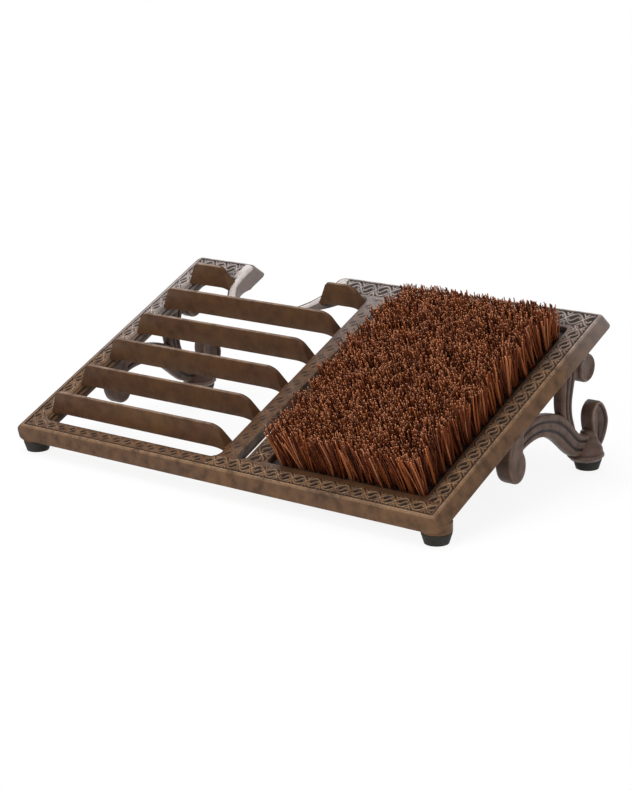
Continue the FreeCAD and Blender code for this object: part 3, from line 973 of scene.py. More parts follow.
    def top_face(self, piece: Piece) -> None:
        """Makes the top face: a grid whose vertices near the outline are drawn onto it.

        Args:
            piece: the empty piece.
        """
        d = self.deck
        us = self.lines((-d.half_width, d.scraper_left, d.notch_u - d.notch_radius,
                         d.notch_u + d.notch_radius, d.scraper_right, d.slot_left, d.slot_right,
                         d.brush_left, d.brush_right, d.half_width))
        vs = self.lines((0.0, d.front_rail, d.slot_front, d.brush_front, d.slot_rear, d.rear_edge, d.length))
        grid = bmesh.new()
        bmesh.ops.create_grid(grid, x_segments=len(us) - 1, y_segments=len(vs) - 1, size=0.5)
        mesh = bpy.data.meshes.new("deck_top_grid")
        grid.to_mesh(mesh)
        grid.free()
        places = np.empty(len(mesh.vertices) * 3, np.float32)
        mesh.vertices.foreach_get("co", places)
        places = places.reshape(-1, 3).astype(float)
        u = us[np.rint((places[:, 0] + 0.5) * (len(us) - 1)).astype(int)]
        v = vs[np.rint((places[:, 1] + 0.5) * (len(vs) - 1)).astype(int)]
        gap = self.metal(u, v)
        for _ in range(2):
            near = (np.abs(gap) < self.cell / 2 + 0.005) & (np.abs(gap) > 1e-5)
            across, up = self.slope_of(u[near], v[near])
            u[near] = u[near] - gap[near] * across
            v[near] = v[near] - gap[near] * up
            gap[near] = self.metal(u[near], v[near])
        gap[np.abs(gap) < 0.02] = 0.0
        height, worn = self.heights(u, v, gap)
        mesh.vertices.foreach_set("co", np.stack([u, v, height], axis=1).astype(np.float32).ravel())
        bm = piece.bm
        bm.from_mesh(mesh)
        bpy.data.meshes.remove(mesh)
        piece.paint(bm.verts, worn)
        outside = gap > 0.0
        for face in list(bm.faces):
            out = [vert for vert in face.verts if outside[vert.index]]
            if len(out) == 1:
                sides = [edge.other_vert(out[0]) for edge in face.edges if out[0] in edge.verts]
                bmesh.utils.face_split(face, sides[0], sides[1])
        doomed = [face for face in bm.faces if any(outside[vert.index] for vert in face.verts)]
        bmesh.ops.delete(bm, geom=doomed, context="FACES")

    def on_outer_rim(self, reach: float, v: float) -> bool:
        """Whether a place on the outline, by its reach, is on the outside of the notch's rim."""
        return abs(reach - self.deck.rim_radius) < 0.5 and v < self.deck.rear_edge - 0.3

    def beside_blades(self, v: float) -> bool:
        """Whether a place up the slope lies along the scraper opening."""
        return self.deck.front_rail - 1.0 < v < self.deck.rear_edge - 1.0

    def wall_depth(self, u: float, v: float) -> float:
        """Height of the wall under a place on the outline; the notch's rim is shallower than the rails.

        Args:
            u: the place across.
            v: the place up the slope.

        Returns:
            The height.
        """
        d = self.deck
        reach = float(self.notch_reach(np.array(u), np.array(v)))
        on_inner_rim = abs(reach - d.notch_radius) < 0.5 and v < d.rear_edge
        if not (on_inner_rim or self.on_outer_rim(reach, v)):
            return d.thickness
        share = limited((v - d.rear_edge + d.notch_run) / d.notch_run)
        return d.notch_depth + (d.thickness - d.notch_depth) * share

    def wall_shift(self, u: float, v: float) -> Vector:
        """How far the foot of a full wall lies from its head.

        Args:
            u: the head's place across.
            v: the head's place up the slope.

        Returns:
            The shift in the deck's plane.
        """
        d = self.deck
        reach = float(self.notch_reach(np.array(u), np.array(v)))
        beside = abs(u - d.notch_u) - d.notch_radius - d.notch_mouth
        from_centre = Vector((u - d.notch_u, v - d.notch_v, 0.0))
        if abs(reach - d.notch_radius) < 0.5 and v <= d.notch_v:
            return -from_centre.normalized() * d.notch_inner_draft
        if v > d.notch_v and beside < 10.0:
            share_v = limited((v - d.notch_v) / (d.length - d.notch_mouth - d.notch_v))
            share_u = limited(1.0 - beside / 10.0)
            inward = math.copysign(d.notch_inner_draft, d.notch_u - u)
            return Vector((inward * share_u, d.flare * share_v, 0.0))
        if self.on_outer_rim(reach, v):
            return from_centre.normalized() * d.notch_outer_draft
        if min(d.half_width - abs(u), v, d.length - v) < 3.0:
            across, up = self.slope_of(np.array([u]), np.array([v]))
            return Vector((float(across[0]), float(up[0]), 0.0)) * d.flare
        if abs(u - d.slot_left) < 5.0 and d.slot_front - 1.0 < v < d.slot_rear + 1.0:
            return Vector((-self.slot_draft * limited((95.0 - v) / 25.0), 0.0, 0.0))
        if u < d.scraper_left + 2.0 and self.beside_blades(v):
            return Vector((self.left_step, 0.0, 0.0))
        return Vector((0.0, 0.0, 0.0))

    def walls(self, piece: Piece) -> None:
        """Runs the outline down to the underside in steps and closes it below.

        Args:
            piece: the piece with its top face.
        """
        bm = piece.bm
        d = self.deck
        layer = piece.number()
        rim = [edge for edge in bm.edges if len(edge.link_faces) == 1]
        heads = {}
        for vert in {vert: None for edge in rim for vert in edge.verts}:
            u, v = vert.co.x, vert.co.y
            heads[vert] = (vert.co.copy(), self.wall_shift(u, v), self.wall_depth(u, v))
        for row, down in enumerate(self.levels):
            made = bmesh.ops.extrude_edge_only(bm, edges=rim)["geom"]
            rim = [item for item in made
                   if isinstance(item, bmesh.types.BMEdge) and len(item.link_faces) == 1]
            below = {}
            for vert in (item for item in made if isinstance(item, bmesh.types.BMVert)):
                above = next(edge.other_vert(vert) for edge in vert.link_edges
                             if edge.other_vert(vert) in heads)
                head, shift, depth = heads[above]
                below[vert] = heads[above]
                on_left = abs(head.x - d.scraper_left) < 2.0 and self.beside_blades(head.y)
                out = (self.stepped_out if on_left else self.plain_out)[row] * depth / d.thickness
                bulged = head.x < 1.0 - d.half_width and shift.x < 0.0
                side = self.left_bulge * self.bulged_out[row] if bulged else out
                vert.co = Vector((head.x + shift.x * side, head.y + shift.y * out, -depth * down))
                vert[layer] = self.stepped_wear_and_shade[row] if on_left else PLAIN
            heads = below
        bmesh.ops.triangle_fill(bm, use_beauty=True, edges=rim)

    def bosses(self, piece: Piece) -> None:
        """Adds the two round bosses under the front corners.

        Args:
            piece: the piece with its walls.
        """
        d = self.deck
        to_deck = d.matrix().inverted() @ upright_matrix()
        radius, low = self.boss_radius, self.boss_low
        profile = ((0.0, low), (radius - 0.6, low), (radius, low + 0.6), (radius, low + 3.0),
                   (radius, self.boss_top), (0.0, self.boss_top))
        for side in Side:
            centre = Vector((side.value * (d.half_width - d.front_foot_inset), d.front_foot_y, 0.0))
            made = piece.lathe(profile, centre, 48)
            bmesh.ops.transform(piece.bm, matrix=to_deck, verts=made)
            piece.paint(made, [PLAIN] * len(made))

    def build(self) -> None:
        """Makes the whole casting as one piece."""
        piece = Piece("deck_casting", Slot.IRON, self.material)
        self.top_face(piece)
        self.walls(piece)
        self.bosses(piece)
        nodes = ("front_rail", "left_rail", "scraper_rail", "brush_rail", "right_rail", "rear_rail_left",
                 "rear_rail_right", "heel_notch_rim")
        piece.finish(self.deck.matrix(), nodes, 40.0)


@dataclass
class ScraperBlades:
    """Six rows of upright wedges across the scraper opening; the last row is cut by the heel notch."""

    deck: Deck
    material: bpy.types.Material
    rows: int = 6
    base: float = 9.2
    top: float = 2.2
    height: float = 17.0
    haunch: float = 6.0
    underside: float = 1.0
    full_reach: float = 13.0
    stub_reach: float = 9.0
    first_gap: float = 10.1
    last_gap: float = 5.7
    left_setback: float = 9.0
    right_setback: float = 4.2
    stub_setback: float = 4.0
    root: float = 1.0
    root_top: float = 0.4
    left_corner: float = 4.2
    right_corner: float = 6.5
    stub_corner: float = 3.0
    edge_round: float = 0.62
    crest_wear_and_highlight: float = 0.76

    def haunch_points(self, end_u: float, reach: float, inward: float) -> list[tuple[float, float]]:
        """The hollow curve from a blade's foot at a rail to its free underside.

        Args:
            end_u: the blade's end at the rail.
            reach: how far the curve runs in.
            inward: 1 or -1, the way it runs.

        Returns:
            Points of the curve.
        """
        points = []
        for step in range(7):
            angle = math.pi / 2 * step / 6
            rise = (self.haunch - self.underside) * math.sin(angle)
            points.append((end_u + inward * reach * (1.0 - math.cos(angle)), -self.haunch + rise))
        return points

    def blade(self, name: str, middle_v: float, ends: tuple[float, float], tops: tuple[float, float],
              reach: float, corners: tuple[float, float]) -> None:
        """Makes one blade.

        Args:
            name: the node that it stands for.
            middle_v: the middle of its thickness, up the slope.
            ends: left and right end at the deck's face.
            tops: left and right end of its top edge.
            reach: reach of its haunches.
            corners: roundings of its left and right top corner.
        """
        piece = Piece("blade_" + name, Slot.IRON, self.material)
        bm = piece.bm
        left, right = ends
        outline = [(left - self.root, -self.root_top), (left - self.root, -self.haunch)]
        outline += self.haunch_points(left, reach, 1.0)
        outline += self.haunch_points(right, reach, -1.0)[::-1]
        outline += [(right + self.root, -self.haunch), (right + self.root, -self.root_top), (right, 0.0),
                    (tops[1], self.height), (tops[0], self.height), (left, 0.0)]
        front = middle_v - self.base / 2
        face = bm.faces.new([bm.verts.new((u, front, w)) for u, w in outline])
        tips = sorted((vert for vert in face.verts if vert.co.z > self.height - 0.1), key=lambda at: at.co.x)
        for corner, size in zip(tips, corners):
            bmesh.ops.bevel(bm, geom=[corner], offset=size, offset_type="OFFSET", segments=5,
                            profile=0.5, affect="VERTICES", material=-1)
        made = bmesh.ops.extrude_face_region(bm, geom=list(bm.faces), use_keep_orig=True)
        moved = [item for item in made["geom"] if isinstance(item, bmesh.types.BMVert)]
        bmesh.ops.translate(bm, verts=moved, vec=(0.0, self.base, 0.0))
        for level in (0.0, self.height - 1.6):
            piece.cut(Vector((0.0, 0.0, level)), Vector((0.0, 0.0, 1.0)))
        for vert in bm.verts:
            width = self.base + (self.top - self.base) * limited(vert.co.z / self.height)
            vert.co.y = middle_v + (vert.co.y - middle_v) * width / self.base
        piece.soften(self.edge_round, 3, 24.0)
        # The crest is painted lighter: partly rubbed paint, partly a painted highlight along the top edge.
        crest = self.height - 0.25
        piece.paint(bm.verts, [self.crest_wear_and_highlight if vert.co.z > crest else PLAIN for vert in bm.verts])
        piece.finish(self.deck.matrix(), (name,), 35.0)

    def build(self) -> None:
        """Makes the five full blades and the two stubs."""
        d = self.deck
        first_back = d.front_rail + self.first_gap + self.base
        pitch = (d.rear_edge - self.last_gap - first_back) / (self.rows - 1)
        ends = (d.scraper_left, d.scraper_right)
        tops = (d.scraper_left + self.left_setback, d.scraper_right - self.right_setback)
        for row in range(self.rows - 1):
            middle = first_back + row * pitch - self.base / 2
            self.blade(f"scraper_blade_{row + 1}", middle, ends, tops, self.full_reach,
                       (self.left_corner, self.right_corner))
        back = first_back + (self.rows - 1) * pitch
        reach = d.notch_v - back + self.base
        meet = math.sqrt(d.rim_radius ** 2 - reach ** 2) + 0.2
        middle = back - self.base / 2
        left_end, right_start = d.notch_u - meet, d.notch_u + meet
        self.blade("stub_blade_left", middle, (ends[0], left_end), (tops[0], left_end - self.stub_setback),
                   self.stub_reach, (self.left_corner, self.stub_corner))
        self.blade("stub_blade_right", middle, (right_start, ends[1]),
                   (right_start + self.left_setback, tops[1]), self.stub_reach,
                   (self.stub_corner, self.right_corner))


@dataclass
class ScrolledLeg:
    """A side leg: a front lobe, a fluted arch and strut, two curls and a domed foot.

    Its outlines are shares of the reach, forward from the foot's middle, and of the rise, up from the
    rubber.
    """

    deck: Deck
    material: bpy.types.Material
    side: Side
    reach: float = 121.0
    rise: float = 75.79
    rubber: float = 8.0
    thickness: float = 8.7
    pad_radius: float = 13.5
    pad_stretch: float = 1.11
    pad_narrow: float = 0.25
    pad_forward: float = 2.6
    root_in_deck: float = 2.0
    groove_depth: float = 1.05
    groove_width: float = 0.060
    groove_shade: float = 0.42
    edge_share: float = 0.55
    lobe: Shares = ((0.930, 0.585), (0.950, 0.455), (0.961, 0.330), (0.951, 0.238), (0.928, 0.168),
                    (0.893, 0.124), (0.856, 0.110), (0.817, 0.131), (0.787, 0.188), (0.776, 0.264),
                    (0.784, 0.343), (0.807, 0.404))
    stem: Shares = ((0.790, 0.800), (0.930, 0.800))
    arch_top: Shares = ((0.860, 0.545), (0.766, 0.628), (0.667, 0.663), (0.522, 0.647), (0.374, 0.585),
                        (0.260, 0.470), (0.190, 0.368), (0.121, 0.289), (0.031, 0.258))
    arch_under: Shares = ((0.860, 0.400), (0.815, 0.395), (0.755, 0.425), (0.680, 0.446), (0.600, 0.449),
                          (0.520, 0.420), (0.430, 0.352), (0.352, 0.262), (0.290, 0.185), (0.215, 0.110),
                          (0.120, 0.070))
    strut_front: Shares = ((0.235, 0.330), (0.300, 0.430), (0.345, 0.540), (0.364, 0.660), (0.366, 0.800),
                           (0.360, 1.120))
    strut_rear: Shares = ((0.085, 0.230), (0.150, 0.290), (0.184, 0.345), (0.211, 0.431), (0.236, 0.527),
                          (0.246, 0.627), (0.238, 0.731), (0.218, 0.852), (0.200, 0.960), (0.195, 1.220))
    neck: Shares = ((0.225, 0.860), (0.180, 0.872), (0.130, 0.920), (0.110, 1.200), (0.225, 1.200))
    rear_curl: Shares = ((0.022, 0.403), (0.012, 0.486), (-0.020, 0.541), (-0.064, 0.563), (-0.123, 0.503),
                         (-0.165, 0.390), (-0.173, 0.306), (-0.152, 0.203), (-0.114, 0.119), (-0.079, 0.095),
                         (-0.028, 0.185), (0.007, 0.287))
    top_curl: tuple[float, float] = (0.088, 0.945)
    top_curl_radius: float = 10.6

    @property
    def middle_x(self) -> float:
        """The leg's middle plane."""
        return self.side.value * (self.deck.half_width - self.deck.rear_foot_inset)

    def outline(self, shares: Iterable[Sequence[float]]) -> Array:
        """Points of an outline from its shares: distance behind the front edge, and height."""
        return np.array([(self.deck.rear_foot_y - share[0] * self.reach, self.rubber + share[1] * self.rise)
                         for share in shares])

    def ring(self, outline: Iterable[Sequence[float]], x: float) -> list[Vector]:
        """An outline's points in a plane x millimetres outside the leg's middle."""
        return [Vector((self.middle_x + self.side.value * x, y, z)) for y, z in outline]

    def ribbed(self, piece: Piece, first: Shares, second: Shares, grooves: Sequence[float], samples: int,
               thin_start: float = 1.0) -> None:
        """Sweeps a fluted bar between two border lines.

        Args:
            piece: the mesh.
            first: one border as shares.
            second: the other border as shares.
            grooves: places of the grooves from one border to the other.
            samples: places along the bar.
            thin_start: share of the thickness at the bar's start.
        """
        across = np.array([0.0, 0.04, 0.11, 0.19, *np.linspace(0.25, 0.75, 13), 0.81, 0.89, 0.96, 1.0])
        edge = np.minimum(across, 1.0 - across)
        crown = np.sqrt(np.maximum(0.0, 1.0 - np.maximum(0.0, 1.0 - edge / 0.16) ** 2))
        dips = [np.exp(-((across - place) / self.groove_width) ** 2) for place in grooves]
        dip = np.max(dips, axis=0) * crown
        half = self.thickness / 2 * (self.edge_share + (1.0 - self.edge_share) * crown)
        half = half - self.groove_depth * dip
        borders = zip(smooth_path(first, samples), smooth_path(second, samples))
        rings = []
        for index, (start, end) in enumerate(borders):
            thin = thin_start + (1.0 - thin_start) * min(1.0, index / (samples * 0.4))
            places = self.outline([start + (end - start) * share for share in across])
            face = [(self.side.value * size * thin, y, z) for size, (y, z) in zip(half, places)]
            ring = [Vector((self.middle_x + x, y, z)) for x, y, z in face]
            ring += [Vector((self.middle_x - x, y, z)) for x, y, z in reversed(face)]
            rings.append(ring)
        made = piece.sweep(rings)
        # Painted shade: the flutes are darkened by their depth, and the crowns between them are slightly
        # rubbed.
        numbers = [PLAIN - self.groove_shade * depth if depth > 0.12 else 0.66 for depth in dip]
        numbers += numbers[::-1]
        piece.paint(made, [numbers[index % len(numbers)] for index in range(len(made))])

    def slab(self, piece: Piece, outline: Array, profile: Sequence[tuple[float, float, float]],
             inner: float = 1.0) -> None:
        """Sweeps an outline through the leg's thickness, drawn in towards both faces.

        Args:
            piece: the mesh.
            outline: points of the border.
            profile: from the middle of the edge to the middle of a face: how far the border is drawn in,
                the half thickness there and the paint's number.
            inner: share of the half thickness on the side that looks inwards.
        """
        rows = [(inset, -half * inner, number) for inset, half, number in reversed(profile)] + list(profile)
        made = piece.sweep([self.ring(drawn_in(outline, inset), x) for inset, x, _ in rows])
        piece.paint(made, [rows[index // len(outline)][2] for index in range(len(made))])

    def add_lobe(self, piece: Piece) -> None:
        """Adds the drop at the front and the stem that joins it to the rail.

        Args:
            piece: the mesh.
        """
        curve = smooth_path((self.stem[1],) + self.lobe, 56)
        self.slab(piece, self.outline(list(curve) + [self.stem[0]]),
                  ((0.0, 3.2, 0.6), (0.35, 4.3, 0.7), (1.1, 5.1, 0.8), (2.4, 5.5, 0.62),
                   (5.0, 5.25, 0.5)), 1.4)

    def add_curls(self, piece: Piece) -> None:
        """Adds the curl under the deck's rear with its neck, and the large one behind the foot.

        Args:
            piece: the mesh.
        """
        turns = np.linspace(0.0, 2.0 * math.pi, 52, endpoint=False)
        centre = self.outline([self.top_curl])[0]
        circle = centre + self.top_curl_radius * np.stack([np.cos(turns), np.sin(turns)], axis=1)
        self.slab(piece, circle, ((0.0, 3.4, 0.6), (0.35, 4.6, 0.74), (1.3, 5.5, 0.86), (2.4, 5.4, 0.6),
                                  (3.4, 4.8, 0.5)))
        self.slab(piece, self.outline(self.neck), ((0.0, 2.2, 0.6), (0.8, 3.2, 0.6)))
        # The rear curl's face sits in a recess whose step is darkened as painted shade.
        self.slab(piece, self.outline(smooth_path(self.rear_curl, 60, True)),
                  ((0.0, 3.9, 0.62), (0.35, 4.8, 0.76), (1.1, 5.5, 0.92), (2.2, 5.3, 0.74), (2.9, 4.0, 0.16),
                   (4.2, 3.3, 0.56)))

    def add_foot(self, piece: Piece) -> None:
        """Adds the domed foot over the rubber, drawn forward into the arch, with a bead on top.

        Args:
            piece: the mesh.
        """
        radius, low = self.pad_radius, self.rubber
        dome = ((radius, 0.0), (2.5, 0.0), (0.9, 2.0), (0.1, 2.6), (0.0, 3.3), (0.2, 4.3), (0.8, 4.9),
                (0.7, 7.6), (1.7, 10.6), (3.5, 13.4), (6.2, 15.9), (9.2, 17.6), (radius, 18.2))
        centre = Vector((self.middle_x, self.deck.rear_foot_y, 0.0))
        made = piece.lathe([(radius - inset, low + height) for inset, height in dome], centre, 56)
        # The lower rim is painted lighter, and the narrow neck above it darker as painted shade.
        piece.paint(made, [0.80 if vert.co.z < low + 4.6 else (0.34 if vert.co.z < low + 5.2 else 0.62)
                           for vert in made])
        for vert in made:
            rise = limited((vert.co.z - low - 3.0) / 14.0)
            stretch = 1.0 + (self.pad_stretch - 1.0) * (1.0 - rise)
            forward = self.pad_forward * (1.0 - 0.6 * rise)
            vert.co.x = centre.x + (vert.co.x - centre.x) * (1.0 - self.pad_narrow * rise)
            vert.co.y = centre.y - forward + (vert.co.y - centre.y) * stretch
        bead = ((0.0, 15.0), (4.9, 15.4), (5.8, 17.0), (6.0, 18.8), (5.5, 20.6), (4.4, 21.8), (0.0, 22.4))
        made = piece.lathe([(size, low + height) for size, height in bead], centre, 36)
        piece.paint(made, [0.62] * len(made))

    def cut_at_deck(self, piece: Piece) -> None:
        """Cuts everything off that reaches too far into the deck.

        Args:
            piece: the mesh.
        """
        angle = math.radians(self.deck.slope_deg)
        upright = Vector((0.0, -math.sin(angle), math.cos(angle)))
        height = self.root_in_deck - self.deck.thickness
        place = upright * height + Vector((0.0, 0.0, self.deck.front_height))
        bmesh.ops.holes_fill(piece.bm, edges=piece.cut(place, upright, True), sides=0)

    def build(self) -> None:
        """Makes the leg as one piece."""
        name = self.side.name.lower() + "_leg"
        piece = Piece("scrolled_" + name, Slot.IRON, self.material)
        self.ribbed(piece, self.arch_under, self.arch_top, (0.30, 0.68), 44)
        self.ribbed(piece, self.strut_rear, self.strut_front, (0.30, 0.62), 36, 0.80)
        self.add_lobe(piece)
        self.add_curls(piece)
        self.add_foot(piece)
        self.cut_at_deck(piece)
        piece.finish(upright_matrix(), (name,), 42.0)


@dataclass
class RubberFeet:
    """Four tapered rubber feet with a recess for their screws."""

    deck: Deck
    material: bpy.types.Material
    bottom: float = 8.75
    top: float = 10.75
    height: float = 8.0
    recess: float = 4.8
    recess_depth: float = 4.0

    def build(self) -> None:
        """Makes each foot."""
        d = self.deck
        profile = ((0.0, self.recess_depth), (self.recess, self.recess_depth), (self.recess, 0.4),
                   (self.recess + 0.4, 0.0), (self.bottom - 0.8, 0.0), (self.bottom - 0.2, 0.2),
                   (self.bottom, 0.8), (self.top, self.height - 0.7), (self.top - 0.15, self.height - 0.2),
                   (self.top - 0.6, self.height), (0.0, self.height))
        places = {"front": (d.front_foot_inset, d.front_foot_y), "rear": (d.rear_foot_inset, d.rear_foot_y)}
        for end, (inset, y) in places.items():
            for side in Side:
                name = f"rubber_foot_{end}_{side.name.lower()}"
                piece = Piece("moulded_" + name, Slot.RUBBER, self.material)
                piece.lathe(profile, Vector((side.value * (d.half_width - inset), y, 0.0)), 48)
                piece.finish(upright_matrix(), (name,), 35.0)


@dataclass
class BristleBrush:
    """Rows of stiff fibre tufts that stand in the brush block."""

    deck: Deck
    material: bpy.types.Material
    rows: int = 17
    tufts: int = 15
    fibres: int = 40
    root_w: float = -5.0
    tip_w: float = 30.3
    highest_tip_w: float = 30.9
    front_margin: float = 3.7
    rear_margin: float = 9.0
    side_margin: float = 3.5
    rear_limit: float = 8.6
    root_radius: float = 2.9
    spread: float = 2.2
    jitter: float = 1.35
    tuft_lean: float = 1.5
    right_lean: float = 2.2
    left_lean: float = 0.3
    front_lean: float = 1.6
    bow: float = 0.5
    tip_scatter: float = 2.7
    lift_scatter: float = 0.9
    short_share: float = 0.12
    short_cut: tuple[float, float] = (2.0, 9.0)
    shade_scatter: float = 0.12
    rear_drop: float = 3.2
    front_left_clear: float = 4.6
    thickness: float = 0.50
    taper: float = 0.18
    ceiling: float = 132.1
    levels: tuple[float, ...] = (0.0, 0.34, 0.68, 0.965, 1.0)
    seed: int = 41

    def tuft_places(self, row: int) -> list[tuple[float, float]]:
        """Where the tufts of one row stand on the block.

        Args:
            row: the row's number from the front.

        Returns:
            Places across and up the slope.
        """
        d = self.deck
        along = row / (self.rows - 1)
        first = d.brush_front + self.front_margin + self.root_radius
        last = d.rear_edge - self.rear_margin - self.root_radius
        low = d.brush_left + self.side_margin + self.root_radius + self.front_left_clear * (1.0 - along)
        high = d.brush_right - self.side_margin - self.root_radius
        count = self.tufts + row % 2
        return [(low + index * (high - low) / (count - 1), first + along * (last - first))
                for index in range(count)]

    def fibre_path(self, draw: random.Random, tuft: tuple[float, float], lean: Vector,
                   lift: float) -> list[Vector]:
        """The middle line of one fibre.

        Args:
            draw: the seeded source of chance.
            tuft: its tuft's place.
            lean: how far its tuft's tips lean.
            lift: how much higher its tuft reaches.

        Returns:
            Places from its root to its tip.
        """
        d = self.deck
        angle, share = draw.uniform(0.0, 2.0 * math.pi), math.sqrt(draw.random())
        root = Vector((math.cos(angle), math.sin(angle), 0.0)) * share * self.root_radius
        out = root * (self.spread - 1.0) * draw.uniform(0.75, 1.25)
        jitter = Vector((draw.gauss(0.0, self.jitter), draw.gauss(0.0, self.jitter), 0.0))
        tip_w = self.tip_w + lift - abs(draw.gauss(0.0, self.tip_scatter))
        if draw.random() < self.short_share:
            tip_w -= draw.uniform(*self.short_cut)
        foot = Vector((tuft[0], tuft[1], self.root_w)) + root
        tip = foot + out + lean + jitter
        tip.z = min(tip_w, self.highest_tip_w)
        tip.y = min(tip.y, d.rear_edge - self.rear_limit)
        excess = d.height_above_floor(tip.y, tip.z) - self.ceiling
        if excess > 0.0:
            tip.z -= excess / math.cos(math.radians(d.slope_deg))
        bow = Vector((draw.gauss(0.0, self.bow), draw.gauss(0.0, self.bow), 0.0)) * 4.0
        across = Vector((tip.x - foot.x, tip.y - foot.y, 0.0))
        places = []
        for level in self.levels:
            sway = level ** 1.25 - level
            places.append(foot.lerp(tip, level) + across * sway + bow * level * (1.0 - level))
        return places

    def fibre_paths(self, row: int, draw: random.Random) -> list[tuple[list[Vector], float, float]]:
        """All the fibres of one row.

        Args:
            row: its number from the front.
            draw: the seeded source of chance.

        Returns:
            Each fibre's middle line, its tone and the turn of its section.
        """
        d = self.deck
        middle_u, half_u = (d.brush_left + d.brush_right) / 2, (d.brush_right - d.brush_left) / 2
        middle_v = (d.brush_front + d.rear_edge) / 2
        paths = []
        for tuft in self.tuft_places(row):
            outward = (tuft[0] - middle_u) / half_u
            lean = Vector((draw.gauss(0.0, self.tuft_lean), draw.gauss(0.0, self.tuft_lean), 0.0))
            lean.x += (self.right_lean if outward > 0.0 else self.left_lean) * outward ** 5
            lean.y += self.front_lean * min((tuft[1] - middle_v) / 100.0, 0.0) ** 5
            lift = draw.gauss(0.0, self.lift_scatter) - self.rear_drop * (row / (self.rows - 1)) ** 6
            shade = draw.uniform(-self.shade_scatter, self.shade_scatter)
            for _ in range(self.fibres):
                tone = limited(draw.random() + shade)
                paths.append((self.fibre_path(draw, tuft, lean, lift), tone, draw.uniform(0.0, math.pi)))
        return paths

    def row(self, row: int, draw: random.Random) -> None:
        """Makes one row of tufts as one piece.

        While the fibres grow, each face's material number tells which fibre it belongs to.

        Args:
            row: its number from the front.
            draw: the seeded source of chance.
        """
        name = f"bristle_row_{row + 1:02d}"
        piece = Piece("tufts_" + name, Slot.FIBRE, self.material, ("tone", "rise"))
        bm = piece.bm
        tone, rise = piece.number("tone"), piece.number("rise")
        paths = self.fibre_paths(row, draw)
        bmesh.ops.create_grid(bm, x_segments=len(paths), y_segments=1, size=1.0)
        bmesh.ops.split_edges(bm, edges=[edge for edge in bm.edges if len(edge.link_faces) == 2])
        faces = list(bm.faces)
        for number, face in enumerate(faces):
            face.material_index = number
        for index, level in enumerate(self.levels):
            if index == 1:
                made = bmesh.ops.extrude_face_region(bm, geom=faces, use_keep_orig=True)["geom"]
                faces = [item for item in made if isinstance(item, bmesh.types.BMFace)]
            elif index > 1:
                faces = bmesh.ops.extrude_discrete_faces(bm, faces=faces)["faces"]
            for face in faces:
                places, shade, turn = paths[face.material_index]
                radius = self.thickness * (1.0 - self.taper * level) * (0.85 + 0.3 * shade)
                for corner, vert in enumerate(face.verts):
                    angle = turn + corner * math.pi / 2
                    spoke = Vector((math.cos(angle), math.sin(angle), 0.0))
                    if index:
                        spoke = (vert.co - places[index - 1]).normalized()
                    vert.co = places[index] + spoke * radius
                    vert[tone] = shade
                    vert[rise] = level
        for face in bm.faces:
            face.material_index = 0
        piece.finish(self.deck.matrix(), (name,), 50.0)

    def build(self) -> None:
        """Makes every row."""
        draw = random.Random(self.seed)
        for row in range(self.rows):
            self.row(row, draw)


@dataclass(frozen=True)
class AreaLamp:
    """A soft square lamp that looks at the middle of the scraper."""

    name: str
    place: tuple[float, float, float]
    size: float
    power: float
    colour: Colour = (1.0, 1.0, 1.0)

    def build(self) -> None:
        """Adds the lamp."""
        data = bpy.data.lights.new(self.name, "AREA")
        data.shape = "SQUARE"
        data.size = self.size
        data.energy = self.power
        data.color = self.colour
        lamp = bpy.data.objects.new(self.name, data)
        lamp.location = self.place
        lamp.rotation_mode = "QUATERNION"
        lamp.rotation_quaternion = (Vector((0.0, 0.0, 0.05)) - Vector(self.place)).to_track_quat("-Z", "Y")
        bpy.context.scene.collection.objects.link(lamp)


